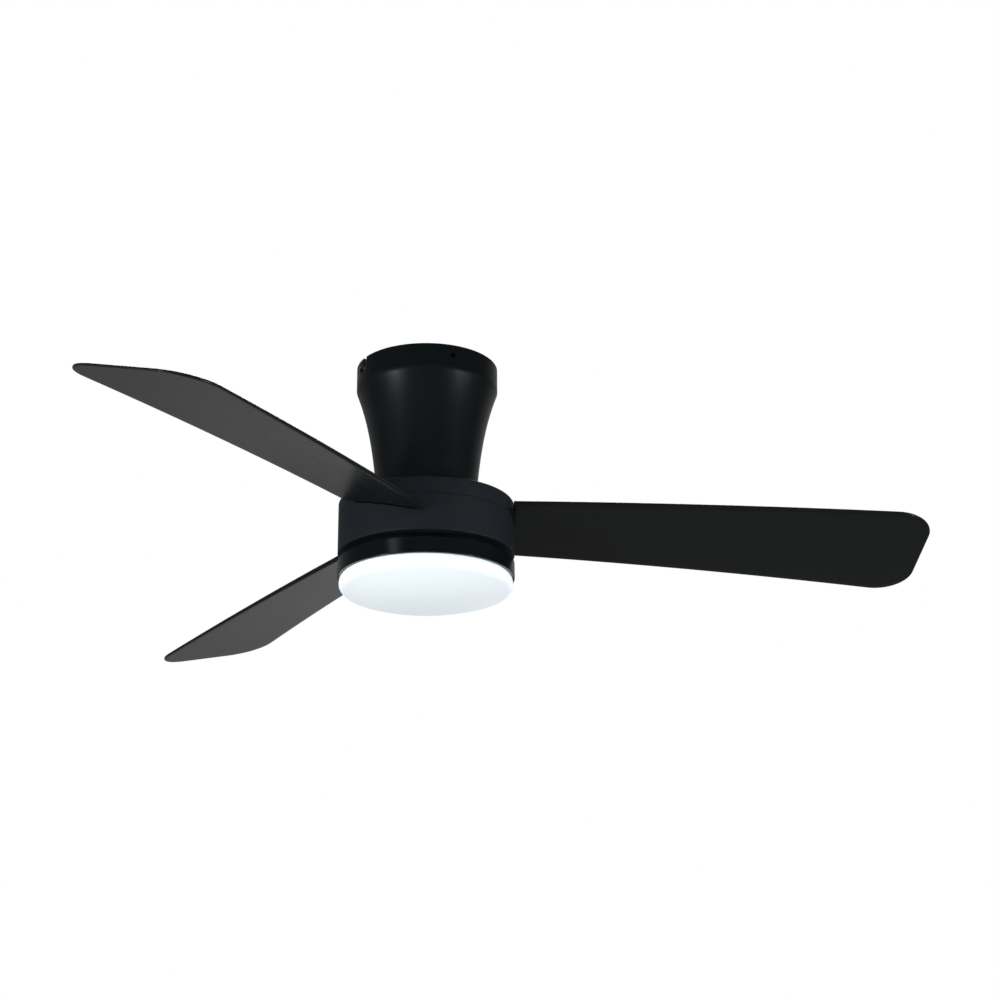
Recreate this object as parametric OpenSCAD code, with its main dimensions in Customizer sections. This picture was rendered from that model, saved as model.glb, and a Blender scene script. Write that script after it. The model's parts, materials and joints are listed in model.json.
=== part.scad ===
// Flush-mounted ceiling fan with three pitched blades and an opal dome light.
// Origin: centre of the ceiling bracket's upper face, against the ceiling. +Z points up into the
// ceiling, so every height below is a drop and is drawn at a negative z. +X runs along the first blade.

/* [Ceiling bracket] */
// Thickness of the bracket's steel
bracket_t = 2; // [1.5:0.5:3]
// Radius of the bracket's round plate
bracket_r = 70; // [64:1:76]
// Distance between the two slots for the ceiling box screws
box_spacing = 88.9; // [70:0.1:95]
// Width of those slots
box_slot_w = 5.5; // [4.5:0.1:6.5]
// Length of those slots, end to end
box_slot_l = 14; // [8:1:18]
// Distance between the two joist screw holes
joist_spacing = 100; // [90:1:104]
// Diameter of the joist screw holes
joist_hole_d = 6.5; // [5:0.1:8]
// Diameter of the hole for the supply cable
cable_hole_d = 38; // [24:1:44]
// Width of the arms and of the tabs turned down from them
tab_w = 20; // [14:1:26]
// Height of the tabs
tab_h = 24; // [20:1:30]

/* [Canopy] */
// Outer radius of the canopy's rim
canopy_r = 94.5; // [86:0.5:110]
// Height of the straight band at the rim
band_h = 32; // [26:1:40]
// Outer radius of the canopy's foot
foot_r = 65.5; // [56:0.5:72]
// Height of the whole canopy
canopy_h = 188.5; // [150:0.5:240]
// Length over which the waist flattens out
flare = 92; // [60:1:140]
// Thickness of the canopy's wall
canopy_t = 1.2; // [1:0.1:2]
// Thickness of the canopy's floor
floor_t = 2; // [1.5:0.5:3]
// Azimuth of the first round fixing hole
fix_azimuth = -70.6; // [-90:0.1:90]
// Drop of the four fixings below the ceiling
fix_drop = 14; // [11:0.5:18]
// Diameter of the fixing holes and width of the L-shaped slots
fix_d = 7; // [5:0.1:9]
// Turn of the canopy from the entry of an L-shaped slot to its seat
slot_turn = 8.6; // [6:0.1:14]

/* [Motor housing] */
// Outer radius of the drum
drum_r = 115.5; // [106:0.5:130]
// Gap between the canopy's foot and the drum
foot_gap = 2.8; // [2:0.1:6]
// Height of the drum's upper cover, from its top to the seam
cover_h = 23.3; // [18:0.1:30]
// Height of the lower shell
base_h = 49; // [44:0.1:60]
// Thickness of the drum's walls
drum_t = 2; // [1.5:0.1:3]
// Radius of the cover's rounded upper edge
cover_round = 3.5; // [2:0.5:4]
// Radius of the shell's rounded lower edge
base_round = 2; // [1.5:0.5:3]
// Gap between cover and shell at the seam
seam_gap = 0.5; // [0.3:0.1:1]

/* [Blades] */
// Radius swept by the blade tips
sweep_r = 660; // [450:1:760]
// Pitch of the blades
pitch = 15; // [8:0.5:17]
// Droop of the blades towards their tips
droop = 2.75; // [0:0.25:5]
// Upward bow of a blade between the drum and its tip
blade_bow = 3.2; // [0:0.1:8]
// Drop of the blades' middle plane at the drum, below the drum's top
blade_drop = 31; // [29:0.5:33]
// Chord of a blade at the drum
root_chord = 120.4; // [100:0.2:140]
// Half chord at the tip on the leading, higher side
lead_tip = 91.5; // [70:0.5:110]
// Half chord at the tip on the trailing, lower side
trail_tip = 96.5; // [70:0.5:110]
// Sag of the trailing edge inside the straight line from root to tip
trail_sag = 1.4; // [0:0.1:12]
// Corner radius of the blade tip
tip_round = 48; // [20:0.5:60]
// Thickness of a blade at the drum
blade_root_t = 6.5; // [5:0.1:8]
// Thickness of a blade at its tip
blade_tip_t = 3; // [2.5:0.1:5]

/* [Motor] */
// Diameter of the hollow shaft
shaft_d = 17; // [14:0.5:20]
// Bore of the hollow shaft
shaft_bore = 11; // [8:0.5:12]
// Outer diameter of the ball bearings
bearing_d = 40; // [36:0.5:44]
// Width of the ball bearings
bearing_w = 12; // [10:0.5:14]
// Radial running clearance between the shaft and the bearings
bearing_clear = 0.05; // [0.02:0.01:0.08]
// Outer radius of the stator core
stator_r = 52; // [46:0.5:54]
// Height of the stator's lamination stack
stack_h = 24; // [18:1:26]
// Radial air gap between the stator and the magnets
air_gap = 0.8; // [0.6:0.1:1.2]
// Thickness of the magnets
magnet_t = 3.2; // [2:0.1:4]
// Thickness of the rotor bell's steel
bell_t = 3; // [2:0.5:4]

/* [Light] */
// Gap between the drum and the trim ring, filled by the recessed light pan
light_gap = 9.3; // [7:0.1:16]
// Height of the trim ring
ring_h = 21; // [18:0.5:26]
// Outer radius of the trim ring
ring_r = 115.5; // [110:0.5:130]
// Thickness of the trim ring's wall
ring_t = 2; // [1.5:0.1:3]
// Outer radius of the light pan
pan_r = 104; // [98:0.5:105]
// Widest radius of the diffuser
lens_r = 113.2; // [111.5:0.1:114]
// Depth of the diffuser below the trim ring
lens_depth = 36; // [28:0.5:50]
// Wall of the diffuser
lens_t = 2; // [1.5:0.1:3]
// Turn from locked to free of the diffuser's bayonet
twist = 15; // [14:1:24]

/* [Hidden] */
$fn = 96;

eps = 1;                              // overrun of a cut past the face that it opens
n_blades = 3;
thread_clear = 0.05;                  // radial gap of a screw thread in its hole
hole_clear = 0.25;                    // radial gap of a screw in a hole that it passes through
fit_gap = 0.3;                        // gap between neighbouring curved walls
shaft_r = shaft_d / 2;
bearing_r = bearing_d / 2;

// Heights of the stack, from the ceiling down
drum_top = -(canopy_h + foot_gap);
seam_z = drum_top - cover_h;
drum_bottom = seam_z - base_h;
ring_top = drum_bottom - light_gap;
ring_bottom = ring_top - ring_h;
blade_z = drum_top - blade_drop;
cover_under = drum_top - drum_t;
base_floor = drum_bottom + drum_t;

// Radii and heights inside the motor
magnet_r0 = stator_r + air_gap;
bell_r0 = magnet_r0 + magnet_t;
bell_r = bell_r0 + bell_t;
bell_top = cover_under - 2.7;         // the cover stands on bosses above the bell
boss_r = bearing_r + 4.5;
bearing_lip = 1;                      // height of the rim of steel that keeps a bearing in its seat
bearing_race = 4;                     // width of a bearing's outer or inner ring
upper_bearing_z = bell_top - bearing_lip - bearing_w;
stack_top = upper_bearing_z - 7;
stack_bottom = stack_top - stack_h;
coil_over = 4;                        // height of the coil ends above and below the stack
lower_bearing_z = stack_bottom - coil_over - 2.5 - bearing_w;
end_plate_t = 3;
end_plate_top = lower_bearing_z + 6;
end_plate_bottom = end_plate_top - end_plate_t;

// Screw sizes: radius of the thread and of the head
m2_r = 1;
m2_head = 1.5;
m3_r = 1.5;
m3_head = 2.8;
m4_r = 2;
m4_head = 3.8;
head_h = 2.4;

function canopy_radius(drop, inset = 0) =
    (drop <= band_h ? canopy_r : canopy_r - (canopy_r - foot_r)
        * (1 - exp(-(drop - band_h) / flare)) / (1 - exp(-(canopy_h - band_h) / flare))) - inset;

// ---- shared shapes ------------------------------------------------------------------

// Tube between two heights, z0 the lower one
module tube(r_out, r_in, z0, z1) {
    difference() {
        translate([0, 0, z0]) cylinder(r = r_out, h = z1 - z0);
        translate([0, 0, z0 - eps]) cylinder(r = r_in, h = z1 - z0 + 2 * eps);
    }
}

// Part of a tube that spans an angle, centred on azimuth 0
module arc_block(r_out, r_in, z0, z1, angle) {
    rotate([0, 0, -angle / 2]) rotate_extrude(angle = angle)
        translate([r_in, z0]) square([r_out - r_in, z1 - z0]);
}

// Copies placed round the axis
module ring_of(n, r = 0, start = 0) {
    for (i = [0:n - 1]) rotate([0, 0, start + i * 360 / n]) translate([r, 0, 0]) children();
}

// Pan-head screw whose head lies under z = 0 and whose thread points up
module screw_up(r, head_r, length) {
    translate([0, 0, -head_h]) cylinder(r = head_r, h = head_h);
    translate([0, 0, -head_h / 2]) cylinder(r = r, h = head_h / 2 + length);
}

// Countersunk screw with its flat top at z = 0 and its thread pointing down
module screw_sunk(r, head_r, length) {
    rotate_extrude() polygon([[0, 0], [head_r, 0], [r, -(head_r - r)], [r, -length], [0, -length]]);
}

// Countersink cut for screw_sunk
module sink_cut(r, head_r, depth) {
    rotate_extrude() polygon([[0, eps], [head_r + thread_clear, eps], [head_r + thread_clear, 0],
        [r + thread_clear, -(head_r - r)], [r + thread_clear, -depth], [0, -depth]]);
}

// Frame of one blade: x runs outward along it, y towards its lower edge, z out of its upper face
module blade_frame(i) {
    rotate([0, 0, i * 360 / n_blades]) translate([drum_r, 0, blade_z])
        rotate([0, droop, 0]) rotate([-pitch, 0, 0]) translate([-drum_r, 0, 0]) children();
}

// ---- ceiling bracket and wiring -----------------------------------------------------

tab_face = canopy_r - canopy_t - 1;   // the tabs stand just inside the canopy's band
nut_boss_r = 4.5;                     // threaded boss behind each tab

module at_fixings() { ring_of(4, start = fix_azimuth) children(); }

module ceiling_bracket() {
    color("silver") difference() {
        union() {
            translate([0, 0, -bracket_t]) cylinder(r = bracket_r, h = bracket_t);
            at_fixings() {
                translate([bracket_r / 2, -tab_w / 2, -bracket_t])
                    cube([tab_face - bracket_r / 2, tab_w, bracket_t]);
                translate([tab_face - bracket_t, -tab_w / 2, -tab_h])
                    cube([bracket_t, tab_w, tab_h]);
                translate([tab_face - 2 * bracket_t, 0, -fix_drop]) rotate([0, 90, 0])
                    cylinder(r = nut_boss_r, h = 2 * bracket_t);
            }
        }
        translate([0, 0, -bracket_t - eps]) cylinder(d = cable_hole_d, h = bracket_t + 2 * eps);
        for (side = [-1, 1]) {
            box_slot(side * box_spacing / 2);
            translate([0, side * joist_spacing / 2, -bracket_t - eps])
                cylinder(d = joist_hole_d, h = bracket_t + 2 * eps);
        }
        at_fixings() translate([tab_face - 3 * bracket_t, 0, -fix_drop]) rotate([0, 90, 0])
            cylinder(r = m4_r + thread_clear, h = 4 * bracket_t);
        at_earth() translate([0, 0, -bracket_t - eps])
            cylinder(r = m4_r + thread_clear, h = bracket_t + 2 * eps);
        at_pegs() translate([0, 0, -bracket_t - eps])
            cylinder(r = m3_r + thread_clear, h = bracket_t + 2 * eps);
    }
}

// Slot with round ends, lying along X
module box_slot(x) {
    half = (box_slot_l - box_slot_w) / 2;
    for (end = [-1, 1]) translate([x + end * half, 0, -bracket_t - eps])
        cylinder(d = box_slot_w, h = bracket_t + 2 * eps);
    translate([x - half, -box_slot_w / 2, -bracket_t - eps])
        cube([2 * half, box_slot_w, bracket_t + 2 * eps]);
}

terminal_l = 30;
terminal_w = 16;
terminal_h = 15;
terminal_screw_r = 1.5;
wire_hole_r = 2;
peg_y = terminal_l * 0.36;            // the block's two pegs sit in holes of the bracket
earth_pcr = 46;                       // distance of the terminals and of the earth screw from the axis
module at_terminals() { rotate([0, 0, 140]) translate([earth_pcr, 0, 0]) children(); }
module at_earth() { rotate([0, 0, -40]) translate([earth_pcr, 0, 0]) children(); }
module at_pegs() { at_terminals() for (side = [-1, 1]) translate([0, side * peg_y, 0]) children(); }

module terminal_block() {
    pitch_y = terminal_l / 3;
    low = -bracket_t - terminal_h;
    color("ivory") {
        at_terminals() difference() {
            translate([-terminal_w / 2, -terminal_l / 2, low]) cube([terminal_w, terminal_l, terminal_h]);
            for (i = [-1:1]) {
                translate([-terminal_w, i * pitch_y, low + terminal_h / 3]) rotate([0, 90, 0])
                    cylinder(r = wire_hole_r, h = 2 * terminal_w);
                for (x = [-1, 1]) translate([x * terminal_w / 4, i * pitch_y, low - eps])
                    cylinder(r = terminal_screw_r + 0.1, h = 3.5 + eps);
            }
        }
        at_pegs() translate([0, 0, -bracket_t - 1]) cylinder(r = m3_r, h = bracket_t + 1 - fit_gap);
    }
}

module terminal_screws() {
    color("gold") at_terminals() for (i = [-1:1], x = [-1, 1])
        translate([x * terminal_w / 4, i * terminal_l / 3, -bracket_t - terminal_h + 0.5])
            cylinder(r = terminal_screw_r, h = 2.5);
}

module earth_screw() {
    color("green") at_earth() translate([0, 0, -bracket_t]) screw_up(m4_r, m4_head, bracket_t - fit_gap);
}

receiver_l = 96;
receiver_w = 42;
receiver_h = 26;
receiver_top = -26;                   // leaves room for the wires under the bracket
strap_t = 1.5;
strap_w = 18;
strap_foot = 13;                      // feet turned outwards and welded to the bracket
port_depth = 2;                       // depth of the recess that a lead ends in
module at_receiver() { rotate([0, 0, 60]) children(); }

module receiver_case() {
    color("dimgray") at_receiver() difference() {
        translate([-receiver_l / 2, -receiver_w / 2, receiver_top - receiver_h])
            cube([receiver_l, receiver_w, receiver_h]);
        for (i = [-1:1]) translate([i * 16, receiver_w / 2 - port_depth, receiver_top - receiver_h / 2])
            rotate([-90, 0, 0]) cylinder(r = lead_r + fit_gap, h = port_depth + eps);
    }
}

module receiver_strap() {
    inner = receiver_l / 2 + fit_gap;
    low = receiver_top - receiver_h;
    color("silver") at_receiver() {
        for (side = [0, 180]) rotate([0, 0, side]) translate([inner, -strap_w / 2, low])
            cube([strap_t, strap_w, -bracket_t - low]);
        translate([-inner - strap_t, -strap_w / 2, low - strap_t])
            cube([2 * (inner + strap_t), strap_w, strap_t]);
        for (side = [0, 180]) rotate([0, 0, side])
            translate([inner, -strap_w / 2, -bracket_t - strap_t]) cube([strap_foot, strap_w, strap_t]);
    }
}

// ---- canopy and shaft ---------------------------------------------------------------

waist_steps = 14;
function waist(inset) = [for (i = [0:waist_steps])
    let (drop = band_h + (canopy_h - band_h) * i / waist_steps) [canopy_radius(drop, inset), -drop]];

flange_r = 30;
flange_t = 5;
flange_pcd = 44;
collar_t = 5;
collar_h = 18;
floor_top = -canopy_h + floor_t;

module canopy() {
    color([0.07, 0.075, 0.08]) difference() {
        rotate_extrude() polygon(concat([[0, 0], [canopy_r, 0]], waist(0), [[0, -canopy_h]]));
        intersection() {
            rotate_extrude() polygon(concat([[0, eps], [canopy_r - canopy_t, eps]], waist(canopy_t),
                [[0, -canopy_h]]));
            translate([0, 0, floor_top]) cylinder(r = canopy_r, h = canopy_h);
        }
        translate([0, 0, -canopy_h - eps]) cylinder(r = shaft_r + 3, h = floor_t + 2 * eps);
        ring_of(4, flange_pcd / 2, 45) translate([0, 0, -canopy_h - eps])
            cylinder(r = m4_r + hole_clear, h = floor_t + 2 * eps);
        at_fixings() fixing_hole();
        for (i = [1, 3]) rotate([0, 0, fix_azimuth + i * 90]) fixing_slot();
    }
}

module fixing_hole() {
    translate([canopy_r - 3 * canopy_t, 0, -fix_drop]) rotate([0, 90, 0])
        cylinder(d = fix_d, h = 4 * canopy_t);
}

// The slot starts at the rim, comes down and turns back to the seat at azimuth 0
module fixing_slot() {
    rotate_extrude(angle = slot_turn) translate([canopy_r - 3 * canopy_t, -fix_drop - fix_d / 2])
        square([4 * canopy_t, fix_d]);
    rotate([0, 0, slot_turn]) {
        fixing_hole();
        translate([canopy_r - 3 * canopy_t, -fix_d / 2, -fix_drop])
            cube([4 * canopy_t, fix_d, fix_drop + eps]);
    }
}

// Shoulder screws, their heads standing inside the canopy's holes and flush with its wall
module canopy_screws() {
    head_r = fix_d / 2 - 0.35;
    recess = 0.5;
    color([0.1, 0.1, 0.1]) at_fixings() translate([0, 0, -fix_drop]) rotate([0, 90, 0]) {
        translate([0, 0, tab_face]) cylinder(r = head_r, h = canopy_r - recess - tab_face);
        translate([0, 0, tab_face - 2 * bracket_t - 2]) cylinder(r = m4_r, h = 2 * bracket_t + 3);
    }
}

module shaft_flange() {
    color("gray") difference() {
        union() {
            translate([0, 0, floor_top]) cylinder(r = flange_r, h = flange_t);
            translate([0, 0, floor_top]) cylinder(r = shaft_r + collar_t, h = collar_h);
        }
        translate([0, 0, floor_top - eps]) cylinder(r = shaft_r, h = collar_h + 2 * eps);
        ring_of(4, flange_pcd / 2, 45) translate([0, 0, floor_top - eps])
            cylinder(r = m4_r + thread_clear, h = flange_t + 2 * eps);
    }
}

// The heads bear on the flange, above the canopy's floor, and the threads stop at the floor's underside
module flange_screws() {
    color("silver") ring_of(4, flange_pcd / 2, 45) translate([0, 0, floor_top + flange_t])
        rotate([180, 0, 0]) screw_up(m4_r, m4_head, flange_t + floor_t);
}

shaft_top = floor_top + collar_h + 4;
pan_gap = 2.9;                        // gap between the turning drum and the fixed pan
pan_top = drum_bottom - pan_gap;
pan_t = 1.5;
nut_h = 6;
shaft_end = pan_top - pan_t - nut_h - 2;

module shaft() {
    color("lightgray") tube(shaft_r, shaft_bore / 2, shaft_end, shaft_top);
}

clip_t = 1.2;
clip_r = shaft_r + 2.2;
clip_gap = 0.4;                       // play between a clip and its bearing
upper_clip_z = upper_bearing_z + bearing_w + clip_gap;
lower_clip_z = lower_bearing_z - clip_gap - clip_t;

// One clip above the upper bearing, one under the lower bearing
module retaining_rings() {
    color("silver") {
        tube(clip_r, shaft_r, upper_clip_z, upper_clip_z + clip_t);
        tube(clip_r, shaft_r, lower_clip_z, lower_clip_z + clip_t);
    }
}

// Leads of the motor and the light. They leave the receiver's side, loop under the strap to the axis,
// go down through the shaft and run outwards to the LED driver. Drawn with x pointing outwards.
lead_r = 3;
bend_r = 9;
loop_r = receiver_w / 2 + bend_r + 2;
module lead_bundle() {
    port_z = receiver_top - receiver_h / 2;
    loop_z = receiver_top - receiver_h - strap_t - lead_r - 1;
    driver_z = plate_top + driver_h / 2;
    color([0.15, 0.15, 0.15]) {
        translate([0, 0, driver_z + bend_r]) cylinder(r = lead_r, h = loop_z - driver_z - 2 * bend_r);
        rotate([0, 0, 150]) {
            lead_bend(bend_r, loop_z - bend_r, 90);
            lead_run(bend_r, loop_r - bend_r, loop_z);
            lead_bend(loop_r - bend_r, loop_z + bend_r, -90);
            translate([loop_r, 0, loop_z + bend_r]) cylinder(r = lead_r, h = port_z - loop_z - 2 * bend_r);
            lead_bend(loop_r - bend_r, port_z - bend_r, 0);
            lead_run(receiver_w / 2 - port_depth, loop_r - bend_r, port_z);
        }
        rotate([0, 0, 90]) {
            lead_bend(bend_r, driver_z + bend_r, 180);
            lead_run(bend_r, driver_y + port_depth, driver_z);
        }
    }
}

// Quarter bend about a centre in the XZ plane, starting at an angle above the X axis
module lead_bend(x, z, start) {
    translate([x, 0, z]) rotate([90, 0, 0]) rotate([0, 0, start])
        rotate_extrude(angle = 90) translate([bend_r, 0]) circle(r = lead_r);
}

// Straight run along X at one height
module lead_run(x0, x1, z) {
    translate([x0, 0, z]) rotate([0, 90, 0]) cylinder(r = lead_r, h = x1 - x0);
}

// ---- stator ---------------------------------------------------------------------------

n_teeth = 12;
tooth_w = 7;
yoke_r = 24;
shoe_t = 4;
shoe_angle = 25;
coil_r0 = 26;
coil_r1 = stator_r - shoe_t - 1;
coil_t = 2.4;

module stator_core() {
    color("dimgray") difference() {
        union() {
            translate([0, 0, stack_bottom]) cylinder(r = yoke_r, h = stack_h);
            ring_of(n_teeth) {
                translate([yoke_r - 2, -tooth_w / 2, stack_bottom])
                    cube([stator_r - shoe_t - yoke_r + 3, tooth_w, stack_h]);
                arc_block(stator_r, stator_r - shoe_t, stack_bottom, stack_top, shoe_angle);
            }
        }
        translate([0, 0, stack_bottom - eps]) cylinder(r = shaft_r, h = stack_h + 2 * eps);
    }
}

// A coil is a rectangular ring round its tooth
module windings() {
    slack = 0.2;
    color([0.72, 0.4, 0.18]) ring_of(n_teeth) difference() {
        translate([coil_r0, -tooth_w / 2 - coil_t, stack_bottom - coil_over])
            cube([coil_r1 - coil_r0, tooth_w + 2 * coil_t, stack_h + 2 * coil_over]);
        translate([coil_r0 - eps, -tooth_w / 2 - slack, stack_bottom - slack])
            cube([coil_r1 - coil_r0 + 2 * eps, tooth_w + 2 * slack, stack_h + 2 * slack]);
    }
}

// ---- rotor ------------------------------------------------------------------------------

cover_screw_r = 40;
base_screw_r = 46;
end_screw_r = bell_r - bell_t / 2;

module rotor_bell() {
    color("gray") difference() {
        union() {
            translate([0, 0, bell_top - bell_t]) cylinder(r = bell_r, h = bell_t);
            tube(bell_r, bell_r0, end_plate_top, bell_top);
            translate([0, 0, upper_bearing_z - bearing_lip])
                cylinder(r = boss_r, h = bearing_w + 2 * bearing_lip);
        }
        translate([0, 0, upper_bearing_z - bearing_lip - eps])
            cylinder(r = bearing_r, h = bearing_w + bearing_lip + eps);
        translate([0, 0, bell_top - bearing_lip - eps]) cylinder(r = bearing_r - bearing_race, h = 3 * eps);
        ring_of(3, cover_screw_r, 60) translate([0, 0, bell_top - bell_t - eps])
            cylinder(r = m4_r + thread_clear, h = bell_t + 2 * eps);
        ring_of(6, end_screw_r) translate([0, 0, end_plate_top - eps])
            cylinder(r = m2_r + thread_clear, h = 8 + eps);
    }
}

module rotor_end_plate() {
    color("gray") difference() {
        union() {
            translate([0, 0, end_plate_bottom]) cylinder(r = bell_r, h = end_plate_t);
            translate([0, 0, lower_bearing_z]) cylinder(r = boss_r, h = bearing_w + bearing_lip);
        }
        translate([0, 0, lower_bearing_z - eps]) cylinder(r = bearing_r, h = bearing_w + eps);
        translate([0, 0, lower_bearing_z])
            cylinder(r = bearing_r - bearing_race, h = bearing_w + 2 * bearing_lip);
        ring_of(6, end_screw_r) translate([0, 0, end_plate_bottom - eps])
            cylinder(r = m2_r + thread_clear, h = end_plate_t + 2 * eps);
        ring_of(3, base_screw_r, 60) translate([0, 0, end_plate_bottom - eps])
            cylinder(r = m4_r + thread_clear, h = end_plate_t + 2 * eps);
    }
}

// Small screws through the end plate into the bell's wall
module end_plate_screws() {
    color("silver") ring_of(6, end_screw_r) translate([0, 0, end_plate_bottom])
        screw_up(m2_r, m2_head, end_plate_t + 7);
}

n_magnets = 14;
module magnets() {
    gap_angle = 3;
    glue = 0.05;
    color([0.35, 0.35, 0.38]) ring_of(n_magnets)
        arc_block(bell_r0 - glue, magnet_r0, stack_bottom - 2, stack_top + 2, 360 / n_magnets - gap_angle);
}

module bearing(z0) {
    groove = 0.8;
    color("silver") difference() {
        tube(bearing_r, shaft_r + bearing_clear, z0, z0 + bearing_w);
        for (z = [z0 - eps, z0 + bearing_w - groove])
            tube(bearing_r - bearing_race, shaft_r + bearing_race, z, z + groove + eps);
    }
}

module upper_bearing() { bearing(upper_bearing_z); }
module lower_bearing() { bearing(lower_bearing_z); }

// ---- drum -------------------------------------------------------------------------------

// Quarter round from angle a0 to a1 about a centre, as points
function quarter(cx, cy, r, a0, a1, n = 6) =
    [for (i = [0:n]) let (a = a0 + (a1 - a0) * i / n) [cx + r * cos(a), cy + r * sin(a)]];

slot_clear = 0.8;                     // gap between a blade's face and the slot that it passes through
slot_end = 1.2;                       // gap between the tongue's edge and the end of that slot
slot_reach = 12;                      // overrun of the slots' cut outside the drum
module blade_slots() {
    for (i = [0:n_blades - 1]) blade_frame(i)
        translate([root_in - eps, -tongue_half - slot_end, -blade_root_t / 2 - slot_clear])
            cube([drum_r - root_in + slot_reach, 2 * (tongue_half + slot_end),
                  blade_root_t + 2 * slot_clear]);
}

drum_hole_r = 26;                     // hole in the middle of the cover and of the shell
screw_boss_r = 6;
lap_h = 4;                            // rise of the shell's lip behind the cover's wall
lap_t = 1.5;
lap_r = drum_r - drum_t - fit_gap;

module housing_cover() {
    color([0.11, 0.13, 0.145]) difference() {
        union() {
            difference() {
                rotate_extrude() polygon(concat([[drum_hole_r, drum_top]],
                    quarter(drum_r - cover_round, drum_top - cover_round, cover_round, 90, 0),
                    [[drum_r, seam_z], [drum_hole_r, seam_z]]));
                translate([0, 0, seam_z - eps])
                    cylinder(r = drum_r - drum_t, h = cover_h - drum_t + eps);
            }
            ring_of(3, cover_screw_r, 60) translate([0, 0, bell_top])
                cylinder(r = screw_boss_r, h = cover_under - bell_top + 0.5);
        }
        ring_of(3, cover_screw_r, 60) translate([0, 0, drum_top]) sink_cut(m4_r, m4_head, 8);
        blade_slots();
    }
}

module cover_screws() {
    color("silver") ring_of(3, cover_screw_r, 60) translate([0, 0, drum_top])
        screw_sunk(m4_r, m4_head, drum_top - bell_top + bell_t + 1);
}

module housing_base() {
    top = seam_z - seam_gap;
    color([0.11, 0.13, 0.145]) difference() {
        union() {
            difference() {
                rotate_extrude() polygon(concat([[drum_hole_r, drum_bottom]],
                    quarter(drum_r - base_round, drum_bottom + base_round, base_round, -90, 0),
                    [[drum_r, top], [drum_hole_r, top]]));
                translate([0, 0, base_floor]) cylinder(r = drum_r - drum_t, h = base_h);
            }
            tube(lap_r, lap_r - lap_t, top - lap_h, seam_z + lap_h);
            tube(drum_r - drum_t + 0.5, lap_r - lap_t, top - lap_h, top - 1);
            ring_of(3, base_screw_r, 60) translate([0, 0, drum_bottom + drum_t / 2])
                cylinder(r = screw_boss_r, h = end_plate_bottom - drum_bottom - drum_t / 2);
        }
        ring_of(3, base_screw_r, 60) translate([0, 0, drum_bottom]) mirror([0, 0, 1])
            sink_cut(m4_r, m4_head, end_plate_top - drum_bottom + hole_clear);
        blade_slots();
    }
}

module base_screws() {
    color("silver") ring_of(3, base_screw_r, 60) translate([0, 0, drum_bottom]) mirror([0, 0, 1])
        screw_sunk(m4_r, m4_head, end_plate_top - drum_bottom);
}

// ---- blades -----------------------------------------------------------------------------

carrier_r = bell_r + 6;
root_in = carrier_r + 5;              // inner end of a blade's root
tongue_half = 45;                     // half width of the tongue that goes into the drum
plank_in = drum_r - 5;                // straight inner end of the full chord, clear of the drum
gasket_t = 1.2;
pad_t = 5;                            // the carrier's pads, which lie on the blades' roots
pad_half = 38;
pad_out = drum_r - 14.5;
carrier_below = 18;                   // reach of the carrier's sleeve below the blades' middle plane
carrier_h = 33;
root_screws = [[root_in + 9, -26], [root_in + 9, 26], [root_in + 24, 0]];

// Tip line placed so that the rounded corner just reaches the sweep
tip_x = sqrt(pow(sweep_r - tip_round, 2) - pow(trail_tip - tip_round, 2)) + tip_round;
blade_l = tip_x - drum_r;
function lead_y(x) = -(root_chord / 2 + (lead_tip - root_chord / 2) * (x - drum_r) / blade_l);
function trail_y(x) = let (s = (x - drum_r) / blade_l)
    root_chord / 2 + (trail_tip - root_chord / 2) * s - 4 * trail_sag * s * (1 - s);
edge_steps = 10;

// Outline in the blade's own plane: tongue, trailing edge, tip corners, leading edge
function blade_outline() =
    let (corner_x = tip_x - tip_round,
         trail_slope = (trail_y(corner_x) - trail_y(corner_x - 1)),
         lead_slope = (lead_y(corner_x) - lead_y(corner_x - 1)),
         trail_c = trail_y(corner_x) - tip_round * norm([1, trail_slope]),
         lead_c = lead_y(corner_x) + tip_round * norm([1, lead_slope]))
    concat([[root_in, -tongue_half], [root_in, tongue_half], [plank_in, tongue_half]],
        [[plank_in, root_chord / 2]],
        [for (i = [0:edge_steps - 1]) let (x = drum_r + (corner_x - drum_r) * i / edge_steps)
            [x, trail_y(x)]],
        quarter(corner_x, trail_c, tip_round, 90 + atan(trail_slope), 0, 12),
        quarter(corner_x, lead_c, tip_round, 0, -90 + atan(lead_slope), 12),
        [[drum_r, -root_chord / 2], [plank_in, -root_chord / 2], [plank_in, -tongue_half]]);

// Side view: even thickness inside the drum, then bowed and tapering to the tip. One face at a time,
// side being -1 for the underside and 1 for the upper side.
function blade_face(side) =
    [for (i = [0:edge_steps]) let (s = i / edge_steps)
        [drum_r + (blade_l + eps) * s, 4 * blade_bow * s * (1 - s)
            + side * (blade_root_t + (blade_tip_t - blade_root_t) * s) / 2]];

module blade_side() {
    under = blade_face(-1);
    over = blade_face(1);
    rotate([90, 0, 0]) linear_extrude(height = 3 * trail_tip, center = true)
        polygon(concat([[0, -blade_root_t / 2]], under, [for (i = [edge_steps:-1:0]) over[i]],
            [[0, blade_root_t / 2]]));
}

module blade(i) {
    color([0.12, 0.13, 0.13]) blade_frame(i) difference() {
        intersection() {
            translate([0, 0, -blade_root_t]) linear_extrude(height = 2 * blade_root_t + blade_bow)
                polygon(blade_outline());
            blade_side();
        }
        for (p = root_screws) translate([p[0], p[1], -blade_root_t])
            cylinder(r = m4_r + hole_clear, h = 2 * blade_root_t);
    }
}

module blade_1() { blade(0); }
module blade_2() { blade(1); }
module blade_3() { blade(2); }

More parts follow.
